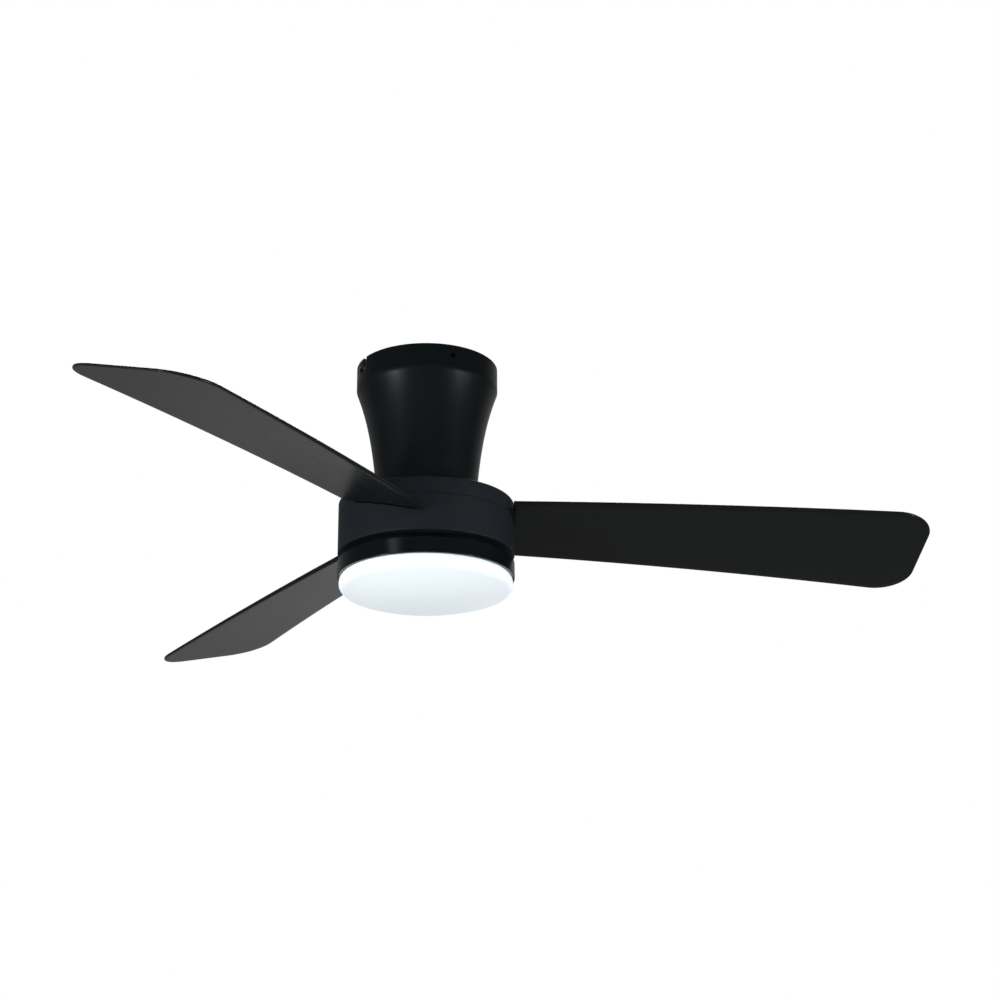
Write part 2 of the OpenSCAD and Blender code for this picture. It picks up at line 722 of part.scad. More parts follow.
module blade_gaskets() {
    color([0.05, 0.05, 0.05]) for (i = [0:n_blades - 1]) blade_frame(i) difference() {
        translate([root_in, -pad_half, blade_root_t / 2]) cube([pad_out - root_in, 2 * pad_half, gasket_t]);
        for (p = root_screws) translate([p[0], p[1], 0])
            cylinder(r = m4_r + hole_clear, h = 3 * gasket_t + blade_root_t);
    }
}

module blade_carrier() {
    pad_z = blade_root_t / 2 + gasket_t;
    color("darkgray") difference() {
        union() {
            translate([0, 0, blade_z - carrier_below]) cylinder(r = carrier_r, h = carrier_h);
            for (i = [0:n_blades - 1]) blade_frame(i)
                translate([bell_r / 2, -pad_half, pad_z])
                    cube([pad_out - bell_r / 2, 2 * pad_half, pad_t]);
        }
        translate([0, 0, blade_z - carrier_h]) cylinder(r = bell_r, h = 2 * carrier_h);
        for (i = [0:n_blades - 1]) blade_frame(i) for (p = root_screws)
            translate([p[0], p[1], pad_z - eps]) cylinder(r = m4_r + thread_clear, h = pad_t + 2 * eps);
    }
}

module blade_screws() {
    color("silver") for (i = [0:n_blades - 1]) blade_frame(i) for (p = root_screws)
        translate([p[0], p[1], -blade_root_t / 2]) screw_up(m4_r, m4_head, blade_root_t + gasket_t + pad_t);
}

// ---- light ------------------------------------------------------------------------------

pan_flange_t = 1.5;
pan_flange_top = ring_top - ring_t;
pan_bottom = ring_bottom + 6;
post_r = 92;
plate_top = pan_bottom + 1;
plate_t = 1.5;
board_t = 1.6;
board_bottom = plate_top - plate_t - board_t;
flange_out = ring_r - ring_t - fit_gap;

module shaft_spacer() {
    color("gray") tube(shaft_r + 3, shaft_r + thread_clear, pan_top, lower_clip_z);
}

module light_pan() {
    color([0.03, 0.03, 0.03]) difference() {
        union() {
            translate([0, 0, pan_top - pan_t]) cylinder(r = pan_r, h = pan_t);
            tube(pan_r, pan_r - pan_t, pan_bottom, pan_top);
            tube(flange_out, pan_r - pan_t, pan_flange_top - pan_flange_t, pan_flange_top);
        }
        translate([0, 0, pan_top - pan_t - eps]) cylinder(r = shaft_r + thread_clear, h = pan_t + 2 * eps);
        at_ring_screws() translate([0, 0, pan_flange_top - pan_flange_t - eps])
            cylinder(r = m3_r + hole_clear, h = pan_flange_t + 2 * eps);
        at_posts() translate([0, 0, pan_top - pan_t - eps])
            cylinder(r = m3_r + hole_clear, h = pan_t + 2 * eps);
    }
}

module at_ring_screws() { ring_of(3, (pan_r + flange_out) / 2, 50) children(); }
module at_posts() { ring_of(3, post_r, 30) children(); }

module pan_nut() {
    color("silver") difference() {
        translate([0, 0, pan_top - pan_t - nut_h]) cylinder(r = shaft_r * 1.6, h = nut_h, $fn = 6);
        translate([0, 0, pan_top - pan_t - nut_h - eps])
            cylinder(r = shaft_r + thread_clear, h = nut_h + 2 * eps, $fn = 96);
    }
}

driver_h = 10;
driver_y = 34;                        // distance of the driver's near side from the axis
module led_driver() {
    length = 74;
    width = 34;
    color("whitesmoke") difference() {
        translate([-length / 2, driver_y, plate_top]) cube([length, width, driver_h]);
        translate([0, driver_y - eps, plate_top + driver_h / 2]) rotate([-90, 0, 0])
            cylinder(r = lead_r + fit_gap, h = port_depth + eps);
    }
}

module plate_posts() {
    color("silver") at_posts() difference() {
        translate([0, 0, plate_top]) cylinder(r = 4, h = pan_top - pan_t - plate_top, $fn = 6);
        translate([0, 0, plate_top - eps]) cylinder(r = m3_r + thread_clear, h = 10, $fn = 48);
    }
}

module led_plate() {
    color("lightgray") difference() {
        translate([0, 0, plate_top - plate_t]) cylinder(r = pan_r - pan_t - fit_gap, h = plate_t);
        at_posts() translate([0, 0, plate_top - plate_t - eps])
            cylinder(r = m3_r + hole_clear, h = plate_t + 2 * eps);
        translate([0, 0, plate_top - plate_t - eps]) cylinder(r = 8, h = plate_t + 2 * eps);
    }
}

module plate_screws() {
    color("silver") at_posts() translate([0, 0, plate_top - plate_t]) screw_up(m3_r, m3_head, plate_t + 8);
}

module led_board() {
    color("white") tube(post_r - 5, 12, board_bottom, plate_top - plate_t);
}

module led_chips() {
    chip = 3.5;
    chip_h = 0.9;
    color([1, 0.93, 0.6]) for (ring = [[28, 8], [50, 14], [72, 20]])
        ring_of(ring[1], ring[0]) translate([-chip / 2, -chip / 2, board_bottom - chip_h])
            cube([chip, chip, chip_h]);
}

lip_t = 2;
lens_neck_r = lens_r - 2.9;
lip_gap = 0.4;                        // gap between the diffuser's neck and the ring's lip
lip_r = lens_neck_r + lip_gap;
lug_angle = 12;
lug_h = 2.5;
lug_r = ring_r - ring_t - 0.7;
lug_z = ring_bottom + lip_t + fit_gap;
notch_play = 2;                       // how much wider a notch is than its lug, in degrees
stop_angle = 2;
stop_h = 8;
stop_offset = lug_angle / 2 + 1.5 + stop_angle / 2;

module trim_ring() {
    bevel = 0.8;
    color([0.06, 0.065, 0.075]) difference() {
        union() {
            rotate_extrude() polygon([[pan_r + fit_gap, ring_top], [ring_r - bevel, ring_top],
                [ring_r, ring_top - bevel], [ring_r, ring_bottom + bevel], [ring_r - bevel, ring_bottom],
                [lip_r, ring_bottom], [lip_r, ring_bottom + lip_t], [ring_r - ring_t, ring_bottom + lip_t],
                [ring_r - ring_t, ring_top - ring_t], [pan_r + fit_gap, ring_top - ring_t]]);
            // stops for the bayonet lugs, just past both ends of their travel
            ring_of(3) for (a = [-stop_offset, twist + stop_offset]) rotate([0, 0, a])
                arc_block(ring_r - ring_t / 2, lip_r + fit_gap, ring_bottom + lip_t / 2,
                    ring_bottom + stop_h, stop_angle);
        }
        ring_of(3) rotate([0, 0, twist])
            arc_block(lug_r + fit_gap, lip_r - eps, ring_bottom - eps, ring_bottom + lip_t + eps,
                lug_angle + notch_play);
        at_ring_screws() translate([0, 0, ring_top - ring_t - eps])
            cylinder(r = m3_r + thread_clear, h = ring_t - fit_gap + eps);
    }
}

module ring_screws() {
    color("silver") at_ring_screws() translate([0, 0, pan_flange_top - pan_flange_t])
        screw_up(m3_r, m3_head, pan_flange_t + ring_t - 0.5);
}

// Half profile of the diffuser's outside, or of its inside when inset by the wall
neck_z = ring_bottom - 0.4;
shoulder_z = ring_bottom - 8;
dome_edge_r = lens_r - 7;
dome_edge_z = shoulder_z - 9.5;
lens_bottom = ring_bottom - lens_depth;
dome_sag = dome_edge_z - lens_bottom;
dome_sphere = (dome_edge_r * dome_edge_r + dome_sag * dome_sag) / (2 * dome_sag);
dome_half = asin(dome_edge_r / dome_sphere);
dome_turn = 68;                       // how far the corner has turned under where the dome starts

function lens_profile(inset) = concat(
    [[lens_neck_r - inset, neck_z]],
    // shoulder that swells out below the ring
    [for (i = [1:6]) let (a = 90 * i / 6)
        [lens_neck_r + (lens_r - lens_neck_r) * sin(a) - inset,
         neck_z + (shoulder_z - neck_z) * (1 - cos(a))]],
    // corner that turns under towards the dome
    [for (i = [1:6]) let (a = dome_turn * i / 6)
        [lens_r - inset - (lens_r - dome_edge_r) * (1 - cos(a)) / (1 - cos(dome_turn)),
         shoulder_z - (shoulder_z - dome_edge_z - inset) * sin(a) / sin(dome_turn)]],
    [for (i = [1:10]) let (a = dome_half * (1 - i / 10))
        [(dome_sphere - inset) * sin(a), lens_bottom + dome_sphere - (dome_sphere - inset) * cos(a)]]);

module diffuser() {
    rim_top = ring_bottom + 12;
    color("white") union() {
        difference() {
            union() {
                translate([0, 0, ring_bottom - 1]) cylinder(r = lens_neck_r, h = 1 + rim_top - ring_bottom);
                rotate_extrude() polygon(concat([[0, neck_z]], lens_profile(0)));
            }
            rotate_extrude() polygon(concat([[0, rim_top + eps], [lens_neck_r - lens_t, rim_top + eps]],
                lens_profile(lens_t)));
        }
        ring_of(3) arc_block(lug_r, lens_neck_r - lens_t / 2, lug_z, lug_z + lug_h, lug_angle);
    }
}

ceiling_bracket();
terminal_block();
terminal_screws();
earth_screw();
receiver_case();
receiver_strap();
canopy();
canopy_screws();
shaft_flange();
flange_screws();
shaft();
retaining_rings();
stator_core();
windings();
lead_bundle();
shaft_spacer();
light_pan();
pan_nut();
led_driver();
plate_posts();
led_plate();
plate_screws();
led_board();
led_chips();
trim_ring();
ring_screws();
housing_cover();
cover_screws();
housing_base();
base_screws();
rotor_bell();
rotor_end_plate();
end_plate_screws();
magnets();
upper_bearing();
lower_bearing();
blade_carrier();
blade_gaskets();
blade_screws();
blade_1();
blade_2();
blade_3();
diffuser();
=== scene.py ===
"""Looks of a flush-mounted ceiling fan with three pitched blades and an opal dome light.

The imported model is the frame: it gives every node's box and every body. Each sub-assembly below is a
class that holds its own sizes in millimetres, computes its surfaces with numpy and dresses them with
procedural finishes. Everything is in the frame's coordinates: +Z up, origin at the ceiling.
"""

import json
import logging
import math
from dataclasses import dataclass, field
from enum import Enum
from typing import ClassVar, Optional, Sequence

import bmesh
import bpy
import numpy as np
from mathutils import Matrix, Vector


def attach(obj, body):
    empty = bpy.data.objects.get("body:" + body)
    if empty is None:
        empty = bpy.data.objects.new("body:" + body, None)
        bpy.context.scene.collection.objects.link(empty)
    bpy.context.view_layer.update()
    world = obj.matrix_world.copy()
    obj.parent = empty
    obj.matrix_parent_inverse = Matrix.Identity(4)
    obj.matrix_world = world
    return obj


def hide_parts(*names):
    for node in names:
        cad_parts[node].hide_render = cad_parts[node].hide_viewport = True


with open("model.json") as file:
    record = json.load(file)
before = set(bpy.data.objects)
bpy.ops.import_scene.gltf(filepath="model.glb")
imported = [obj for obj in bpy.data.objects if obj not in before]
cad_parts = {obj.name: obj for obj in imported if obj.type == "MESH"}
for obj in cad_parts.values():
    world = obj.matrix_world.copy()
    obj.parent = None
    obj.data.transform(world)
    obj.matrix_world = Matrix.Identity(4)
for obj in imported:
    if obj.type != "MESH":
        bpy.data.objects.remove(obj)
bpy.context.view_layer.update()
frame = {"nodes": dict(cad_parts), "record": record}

LOG = logging.getLogger("fan")
MM = 0.001


class Body(Enum):
    """The bodies that a piece can ride on."""

    FIXED = "mount_frame"
    ROTOR = "rotor"
    LENS = "lens"


# ---- meshes ----------------------------------------------------------------------------


@dataclass
class Mesh:
    """Points in millimetres and faces of three or four corners, as whole arrays."""

    points: np.ndarray
    quads: np.ndarray
    uv: Optional[np.ndarray] = None

    def joined(self, other: "Mesh") -> "Mesh":
        """Both meshes as one, with the other's corners renumbered.

        Args:
            other: the mesh to add.

        Returns:
            One mesh, which keeps its map when both have one.
        """
        uv = None
        if self.uv is not None and other.uv is not None:
            uv = np.vstack([self.uv, other.uv])
        return Mesh(np.vstack([self.points, other.points]),
                    np.vstack([self.quads, other.quads + len(self.points)]), uv)

    def moved(self, matrix: np.ndarray) -> "Mesh":
        """The mesh carried by a 4 x 4 matrix."""
        return Mesh(self.points @ matrix[:3, :3].T + matrix[:3, 3], self.quads, self.uv)


def grid_quads(rows: int, cols: int, wrap_rows: bool, wrap_cols: bool) -> np.ndarray:
    """Corners of the faces of a grid whose points are numbered row by row.

    Args:
        rows: number of rows of points.
        cols: number of points in a row.
        wrap_rows: the last row joins the first.
        wrap_cols: the last column joins the first.

    Returns:
        One line of four point numbers for each face.
    """
    r = np.arange(rows if wrap_rows else rows - 1)[:, None]
    c = np.arange(cols if wrap_cols else cols - 1)[None, :]
    r1, c1 = (r + 1) % rows, (c + 1) % cols
    corners = [r * cols + c, r * cols + c1, r1 * cols + c1, r1 * cols + c]
    return np.stack([np.broadcast_to(k, (len(r), c.shape[1])) for k in corners], -1).reshape(-1, 4)


def azimuths(count: int) -> np.ndarray:
    """Evenly spaced angles round the axis, in radians."""
    return np.arange(count) * 2 * math.pi / count


def revolve(profile: np.ndarray, angles: np.ndarray, closed: bool = True) -> Mesh:
    """Turns a profile round Z: the point at angle a is (r cos a, r sin a, z).

    Args:
        profile: radius and height of each point, running clockwise round the wall's section as
            seen with the axis on the left, so that faces point out of the wall.
        angles: the azimuths of the columns.
        closed: the profile's last point joins its first, as round a wall's section.

    Returns:
        The surface, closed round the axis.
    """
    r, z = profile[:, :1], profile[:, 1:]
    points = np.stack([r * np.cos(angles), r * np.sin(angles), np.broadcast_to(z, (len(r), len(angles)))], -1)
    return Mesh(points.reshape(-1, 3), grid_quads(len(profile), len(angles), closed, True)[:, ::-1])


def arc(cx: float, cz: float, radius: float, start: float, end: float, count: int) -> np.ndarray:
    """Points of a circular arc about (cx, cz), from a start to an end angle in degrees."""
    a = np.radians(np.linspace(start, end, count))
    return np.stack([cx + radius * np.cos(a), cz + radius * np.sin(a)], -1)


def line(x0: float, z0: float, x1: float, z1: float, count: int) -> np.ndarray:
    """Evenly spaced points of a straight stretch of a profile, both ends included."""
    s = np.linspace(0, 1, count)[:, None]
    return np.array([[x0, z0]]) * (1 - s) + np.array([[x1, z1]]) * s


def loft(rings: np.ndarray, cap_start: bool = False, cap_end: bool = False) -> Mesh:
    """Skins a row of closed rings: face corners run along each ring, then to the next one.

    Args:
        rings: an array of rings, each an array of points, all with the same number of points.
        cap_start: close the first ring by drawing it in to its own middle.
        cap_end: close the last ring by drawing it in to its own middle.

    Returns:
        The surface, with a closed end wherever a cap was asked for.
    """
    parts = [rings]
    if cap_start:
        parts.insert(0, np.broadcast_to(rings[:1].mean(1, keepdims=True), rings[:1].shape))
    if cap_end:
        parts.append(np.broadcast_to(rings[-1:].mean(1, keepdims=True), rings[-1:].shape))
    stack = np.concatenate(parts)
    return Mesh(stack.reshape(-1, 3), grid_quads(len(stack), stack.shape[1], False, True))


def curved_block(r_in: float, r_out: float, z0: float, z1: float, middle: float, angle: float) -> Mesh:
    """A block bent round the axis: the section's corner (r, z) at angle a is (r cos a, r sin a, z).

    Args:
        r_in: inner radius.
        r_out: outer radius.
        z0: height of the underside.
        z1: height of the top.
        middle: azimuth of the block's middle, in degrees.
        angle: how far it reaches round the axis, in degrees.

    Returns:
        The block, with its two ends closed.
    """
    steps = 13
    a = np.radians(middle + np.linspace(-angle / 2, angle / 2, steps))[:, None]
    section = np.array([[r_in, z0], [r_in, z1], [r_out, z1], [r_out, z0]])
    r, z = section[:, 0][None, :], section[:, 1][None, :]
    rings = np.stack([r * np.cos(a), r * np.sin(a), np.broadcast_to(z, (len(a), 4))], -1)
    return loft(rings, cap_start=True, cap_end=True)


@dataclass(frozen=True)
class Outline:
    """An opening in a wall: every place closer than a radius to a chain of points.

    The chain lives on the unrolled wall, where the first coordinate runs round the axis and the
    second up it, both in millimetres.
    """

    chain: np.ndarray
    radius: float
    FAR: ClassVar[float] = 6.0  # reach in mm beyond the edge within which distances are worked out

    def depth(self, u: np.ndarray, v: np.ndarray) -> np.ndarray:
        """Distance from the opening's edge, positive outside it.

        Args:
            u: places round the wall.
            v: heights on the wall.

        Returns:
            The distance to the nearest stretch of the chain, less the radius.
        """
        found = np.full(u.shape, self.FAR)
        lo = self.chain.min(0) - self.radius - self.FAR
        hi = self.chain.max(0) + self.radius + self.FAR
        near = (u > lo[0]) & (u < hi[0]) & (v > lo[1]) & (v < hi[1])
        p = np.stack([u[near], v[near]], -1)[..., None, :]
        a = self.chain[:-1] if len(self.chain) > 1 else self.chain
        b = self.chain[1:] if len(self.chain) > 1 else self.chain + 1e-9
        d = b - a
        t = np.clip(((p - a) * d).sum(-1) / (d * d).sum(-1), 0, 1)
        found[near] = np.sqrt((((a + t[..., None] * d) - p) ** 2).sum(-1)).min(-1) - self.radius
        return found


@dataclass
class Wall:
    """A turned wall with openings, made from an outer and an inner profile of equal length.

    Both skins share one grid of azimuths and rows. Grid points next to an opening's edge slide
    onto it, the faces inside the opening go, and the open edges of the two skins are joined, so
    the opening gets a wall as thick as the sheet.
    """

    outer: np.ndarray
    inner: np.ndarray
    unroll_r: float
    openings: Sequence[Outline]
    coarse: float = 2.0
    fine: float = 0.5
    rounds: int = 3
    snap_band: float = 1.2
    snap_share: float = 0.62
    probe: float = 0.05

    @property
    def turn(self) -> float:
        """Length of the unrolled wall, once round."""
        return 2 * math.pi * self.unroll_r

    def columns(self) -> np.ndarray:
        """Azimuths of the grid's columns: coarse steps, and fine ones wherever an opening lies.

        Returns:
            The azimuths in degrees, in rising order.
        """
        step_mm = math.radians(1) * self.unroll_r
        cuts = np.zeros(0)
        coarse = np.arange(-180, 180, self.coarse)
        covered = np.zeros(len(coarse), bool)
        for o in self.openings:
            lo = (o.chain[:, 0].min() - o.radius) / step_mm - self.coarse
            hi = (o.chain[:, 0].max() + o.radius) / step_mm + self.coarse
            n = max(int(math.ceil((hi - lo) / self.fine)), 2)
            cuts = np.concatenate([cuts, np.linspace(lo, hi, n + 1)])
            middle, half = (lo + hi) / 2, (hi - lo) / 2
            covered |= np.abs((coarse - middle + 180) % 360 - 180) < half + self.fine
        return np.sort(np.concatenate([coarse[~covered], (cuts + 180) % 360 - 180]))

    def depth(self, u: np.ndarray, v: np.ndarray) -> np.ndarray:
        """Distance to the nearest opening's edge, the wall being unrolled three times over.

        Args:
            u: places round the wall, in millimetres.
            v: heights on the wall.

        Returns:
            The distances, positive where the wall is whole.
        """
        found = np.full(u.shape, Outline.FAR)
        for o in self.openings:
            for k in (-self.turn, 0, self.turn):
                found = np.minimum(found, o.depth(u + k, v))
        return found

    @staticmethod
    def at(rows: np.ndarray, skin: np.ndarray, axis: int) -> np.ndarray:
        """A profile's radius (axis 0) or height (axis 1) at a fractional row."""
        return np.interp(rows, np.arange(len(skin)), skin[:, axis])

    def slid(self, u: np.ndarray, row: np.ndarray) -> tuple[np.ndarray, np.ndarray]:
        """Slides the grid points beside an opening onto its edge.

        A point moves against the gradient of the distance d by d / |gradient|, first in both
        directions and, on the wall's own two rims, round the wall only.

        Args:
            u: places round the wall, one for each grid point.
            row: fractional rows, one for each grid point.

        Returns:
            The new places and rows.
        """
        height = self.outer[:, 1]
        last = len(height) - 1
        near = np.abs(self.depth(u, self.at(row, self.outer, 1))) < self.snap_band
        cell = self.fine * math.radians(1) * self.unroll_r
        e, flat, rim, steep = self.probe, 0.05, 0.01, 0.2
        for _ in range(self.rounds):
            v = self.at(row, self.outer, 1)
            d = self.depth(u, v)
            gu = (self.depth(u + e, v) - self.depth(u - e, v)) / (2 * e)
            gv = (self.depth(u, v + e) - self.depth(u, v - e)) / (2 * e)
            rowstep = np.gradient(height)[np.clip(row.round().astype(int), 0, last)]
            span = np.maximum(np.abs(gu) * cell, np.abs(gv * rowstep)) * self.snap_share + 1e-6
            pull = near & (np.abs(d) < span)
            norm = np.maximum(gu * gu + gv * gv, flat)
            edge = (row < rim) | (row > last - rim)
            free = d * gu / norm * ~edge
            along = np.where(edge & (np.abs(gu) > steep), d / np.where(np.abs(gu) > steep, gu, 1.0), 0.0)
            u = np.where(pull, u - free - along, u)
            row = np.where(pull & ~edge, row - d * gv / norm / np.where(rowstep == 0, 1.0, rowstep), row)
            row = np.clip(row, 0, last)
        return u, row

    def kept(self, quads: np.ndarray, u: np.ndarray, row: np.ndarray) -> np.ndarray:
        """The faces whose middles lie outside every opening.

        Args:
            quads: every face of the grid.
            u: places round the wall, one for each grid point.
            row: fractional rows, one for each grid point.

        Returns:
            The faces that stay.
        """
        cu = u.ravel()[quads]
        cu = cu + np.where(cu - cu[:, :1] < -self.turn / 2, self.turn, 0) - np.where(
            cu - cu[:, :1] > self.turn / 2, self.turn, 0)
        return quads[self.depth(cu.mean(1), self.at(row, self.outer, 1).ravel()[quads].mean(1)) > 0]

    def build(self) -> Mesh:
        """The closed wall.

        Returns:
            A mesh whose outer skin faces away from its inner one.
        """
        deg = self.columns()
        u = np.broadcast_to(np.radians(deg)[None, :] * self.unroll_r, (len(self.outer), len(deg))).copy()
        row = np.broadcast_to(np.arange(len(self.outer), dtype=float)[:, None], u.shape).copy()
        u, row = self.slid(u, row)
        quads = self.kept(grid_quads(len(self.outer), len(deg), False, True), u, row)
        angle = u / self.unroll_r
        skins = []
        for skin in (self.outer, self.inner):
            r, z = self.at(row, skin, 0), self.at(row, skin, 1)
            skins.append(np.stack([r * np.cos(angle), r * np.sin(angle), z], -1).reshape(-1, 3))
        count = len(skins[0])
        edges = np.concatenate([quads[:, [i, (i + 1) % 4]] for i in range(4)])
        key = edges[:, 0].astype(np.int64) * count + edges[:, 1]
        back = edges[:, 1].astype(np.int64) * count + edges[:, 0]
        rim = edges[~np.isin(key, back)]
        joined = np.stack([rim[:, 1], rim[:, 0], rim[:, 0] + count, rim[:, 1] + count], -1)
        faces = np.concatenate([quads, quads[:, ::-1] + count, joined])
        return Mesh(np.vstack(skins), faces[:, ::-1])


def make_object(name: str, mesh: Mesh, smooth: bool = True, weld: float = 1e-4) -> bpy.types.Object:
    """Puts a mesh into the scene, in metres, welded, with its faces pointing out.

    Args:
        name: the piece's name.
        mesh: points in millimetres and faces.
        smooth: shade it smooth, with sharp edges kept by angle.
        weld: distance in millimetres within which points become one.

    Returns:
        The new object, at the origin.
    """
    data = bpy.data.meshes.new(name)
    points, quads = mesh.points * MM, mesh.quads
    data.vertices.add(len(points))
    data.vertices.foreach_set("co", points.astype(np.float32).ravel())
    data.loops.add(quads.size)
    data.loops.foreach_set("vertex_index", quads.astype(np.int32).ravel())
    data.polygons.add(len(quads))
    data.polygons.foreach_set("loop_start", np.arange(0, quads.size, 4, dtype=np.int32))
    data.update(calc_edges=True)
    if mesh.uv is not None:
        layer = data.uv_layers.new(name="along")
        layer.data.foreach_set("uv", mesh.uv[quads.ravel()].astype(np.float32).ravel())
    data.validate()
    bm = bmesh.new()
    bm.from_mesh(data)
    bmesh.ops.remove_doubles(bm, verts=bm.verts, dist=weld * MM)
    bmesh.ops.dissolve_degenerate(bm, edges=bm.edges, dist=weld * MM)
    loose = [v for v in bm.verts if not v.link_faces]
    bmesh.ops.delete(bm, geom=loose, context="VERTS")
    bmesh.ops.recalc_face_normals(bm, faces=bm.faces)
    bm.to_mesh(data)
    bm.free()
    if smooth:
        data.polygons.foreach_set("use_smooth", np.ones(len(data.polygons), bool))
        data.set_sharp_from_angle(angle=math.radians(35))
    obj = bpy.data.objects.new(name, data)
    bpy.context.scene.collection.objects.link(obj)
    return obj


def bevel(obj: bpy.types.Object, width: float, angle: float = 40.0, segments: int = 2) -> None:
    """Rounds an object's sharp edges with a live bevel.

    Args:
        obj: the object.
        width: the bevel's width in millimetres.
        angle: edges that bend by more than this, in degrees, are rounded.
        segments: number of faces across the bevel.
    """
    mod = obj.modifiers.new("edge", "BEVEL")
    mod.width = width * MM
    mod.segments = segments
    mod.limit_method = "ANGLE"
    mod.angle_limit = math.radians(angle)
    mod.harden_normals = False


# ---- finishes --------------------------------------------------------------------------


class Nodes:
    """A small helper that adds and joins shader nodes in one material."""

    def __init__(self, name: str) -> None:
        """Starts an empty material with a Principled shader."""
        self.material = bpy.data.materials.new(name)
        self.material.use_nodes = True
        self.tree = self.material.node_tree
        self.shader = self.tree.nodes["Principled BSDF"]
        self.coord = self.add("ShaderNodeTexCoord")

    def add(self, kind: str, **values: object) -> bpy.types.Node:
        """A new node, with some of its values set.

        Args:
            kind: the node's type.
            **values: numbers for its inputs, or settings for its properties, by name.

        Returns:
            The node.
        """
        node = self.tree.nodes.new(kind)
        for key, value in values.items():
            if key in node.inputs:
                node.inputs[key].default_value = value
            else:
                setattr(node, key, value)
        return node

    def link(self, a: bpy.types.NodeSocket, b: bpy.types.NodeSocket) -> None:
        """Joins an output to an input."""
        self.tree.links.new(a, b)

    def place(self, scale: Sequence[float], source: str = "Object") -> bpy.types.NodeSocket:
        """Coordinates stretched along each axis.

        Args:
            scale: the stretch along x, y and z.
            source: the output to read, Object or UV.

        Returns:
            The stretched coordinates.
        """
        mapping = self.add("ShaderNodeMapping", Scale=tuple(scale))
        self.link(self.coord.outputs[source], mapping.inputs["Vector"])
        return mapping.outputs["Vector"]

    def noise(self, vector: bpy.types.NodeSocket, scale: float, detail: float = 3.0,
              rough: float = 0.5) -> bpy.types.NodeSocket:
        """A noise field over some coordinates.

        Args:
            vector: the coordinates.
            scale: cells in a metre.
            detail: octaves of finer noise.
            rough: how strong the finer octaves are.

        Returns:
            The field, from 0 to 1.
        """
        node = self.add("ShaderNodeTexNoise", Scale=scale, Detail=detail, Roughness=rough)
        self.link(vector, node.inputs["Vector"])
        return node.outputs["Fac"]

    def ramp(self, factor: bpy.types.NodeSocket,
             stops: Sequence[tuple[float, Sequence[float]]]) -> bpy.types.NodeSocket:
        """A colour ramp over a factor.

        Args:
            factor: the value to look up.
            stops: places and their colours.

        Returns:
            The colour.
        """
        node = self.add("ShaderNodeValToRGB")
        ramp = node.color_ramp
        while len(ramp.elements) < len(stops):
            ramp.elements.new(0.5)
        for element, (place, colour) in zip(ramp.elements, stops):
            element.position = place
            element.color = (*colour[:3], 1.0)
        self.link(factor, node.inputs["Fac"])
        return node.outputs["Color"]

    def span(self, factor: bpy.types.NodeSocket, low: float, high: float) -> bpy.types.NodeSocket:
        """A factor spread between two numbers.

        Args:
            factor: a value from 0 to 1.
            low: what 0 becomes.
            high: what 1 becomes.

        Returns:
            The spread value.
        """
        node = self.add("ShaderNodeMapRange")
        node.inputs["To Min"].default_value = low
        node.inputs["To Max"].default_value = high
        self.link(factor, node.inputs["Value"])
        return node.outputs["Result"]

    def mixed(self, factor: bpy.types.NodeSocket, a: Sequence[float],
              b: Sequence[float]) -> bpy.types.NodeSocket:
        """A colour between two, by a factor."""
        return self.ramp(factor, [(0.0, a), (1.0, b)])

    def bump(self, height: bpy.types.NodeSocket, distance: float, strength: float = 1.0,
             below: Optional[bpy.types.NodeSocket] = None) -> bpy.types.NodeSocket:
        """A bumped normal.

        Args:
            height: the relief, from 0 to 1.
            distance: the depth of the relief in metres.
            strength: how much of it shows.
            below: another bumped normal that this one lies on.

        Returns:
            The normal.
        """
        node = self.add("ShaderNodeBump", Strength=strength, Distance=distance)
        self.link(height, node.inputs["Height"])
        if below is not None:
            self.link(below, node.inputs["Normal"])
        return node.outputs["Normal"]

    def set(self, **values: object) -> None:
        """Sets numbers and colours straight on the shader's sockets.

        Args:
            **values: the values by socket name, with _ for each space.
        """
        for key, value in values.items():
            self.shader.inputs[key.replace("_", " ")].default_value = value


def scaled(colour: Sequence[float], by: float) -> tuple[float, ...]:
    """A colour made lighter or darker."""
    return tuple(min(c * by, 1.0) for c in colour[:3])


@dataclass(frozen=True)
class PowderCoat:
    """Baked powder paint: a fine orange-peel relief, faint mottling and uneven gloss."""

    name: str
    colour: tuple[float, float, float]
    roughness: float
    peel: float = 0.02
    specular: float = 0.5
    coat: float = 0.0

    def build(self) -> bpy.types.Material:
        """Makes the finish.

        Returns:
            The material.
        """
        n = Nodes(self.name)
        flat = n.place((1, 1, 1))
        mottling = n.noise(flat, 14.0, 4.0)
        grain = n.noise(flat, 1400.0, 2.0)
        peel = n.noise(flat, 420.0, 2.0, 0.4)
        shade = n.mixed(mottling, scaled(self.colour, 0.9), scaled(self.colour, 1.12))
        n.link(shade, n.shader.inputs["Base Color"])
        n.link(n.span(grain, self.roughness * 0.86, self.roughness * 1.14), n.shader.inputs["Roughness"])
        relief = n.bump(peel, self.peel * MM)
        n.link(n.bump(grain, self.peel * 0.25 * MM, 1.0, relief), n.shader.inputs["Normal"])
        n.set(Specular_IOR_Level=self.specular, Coat_Weight=self.coat, Coat_Roughness=0.12)
        return n.material


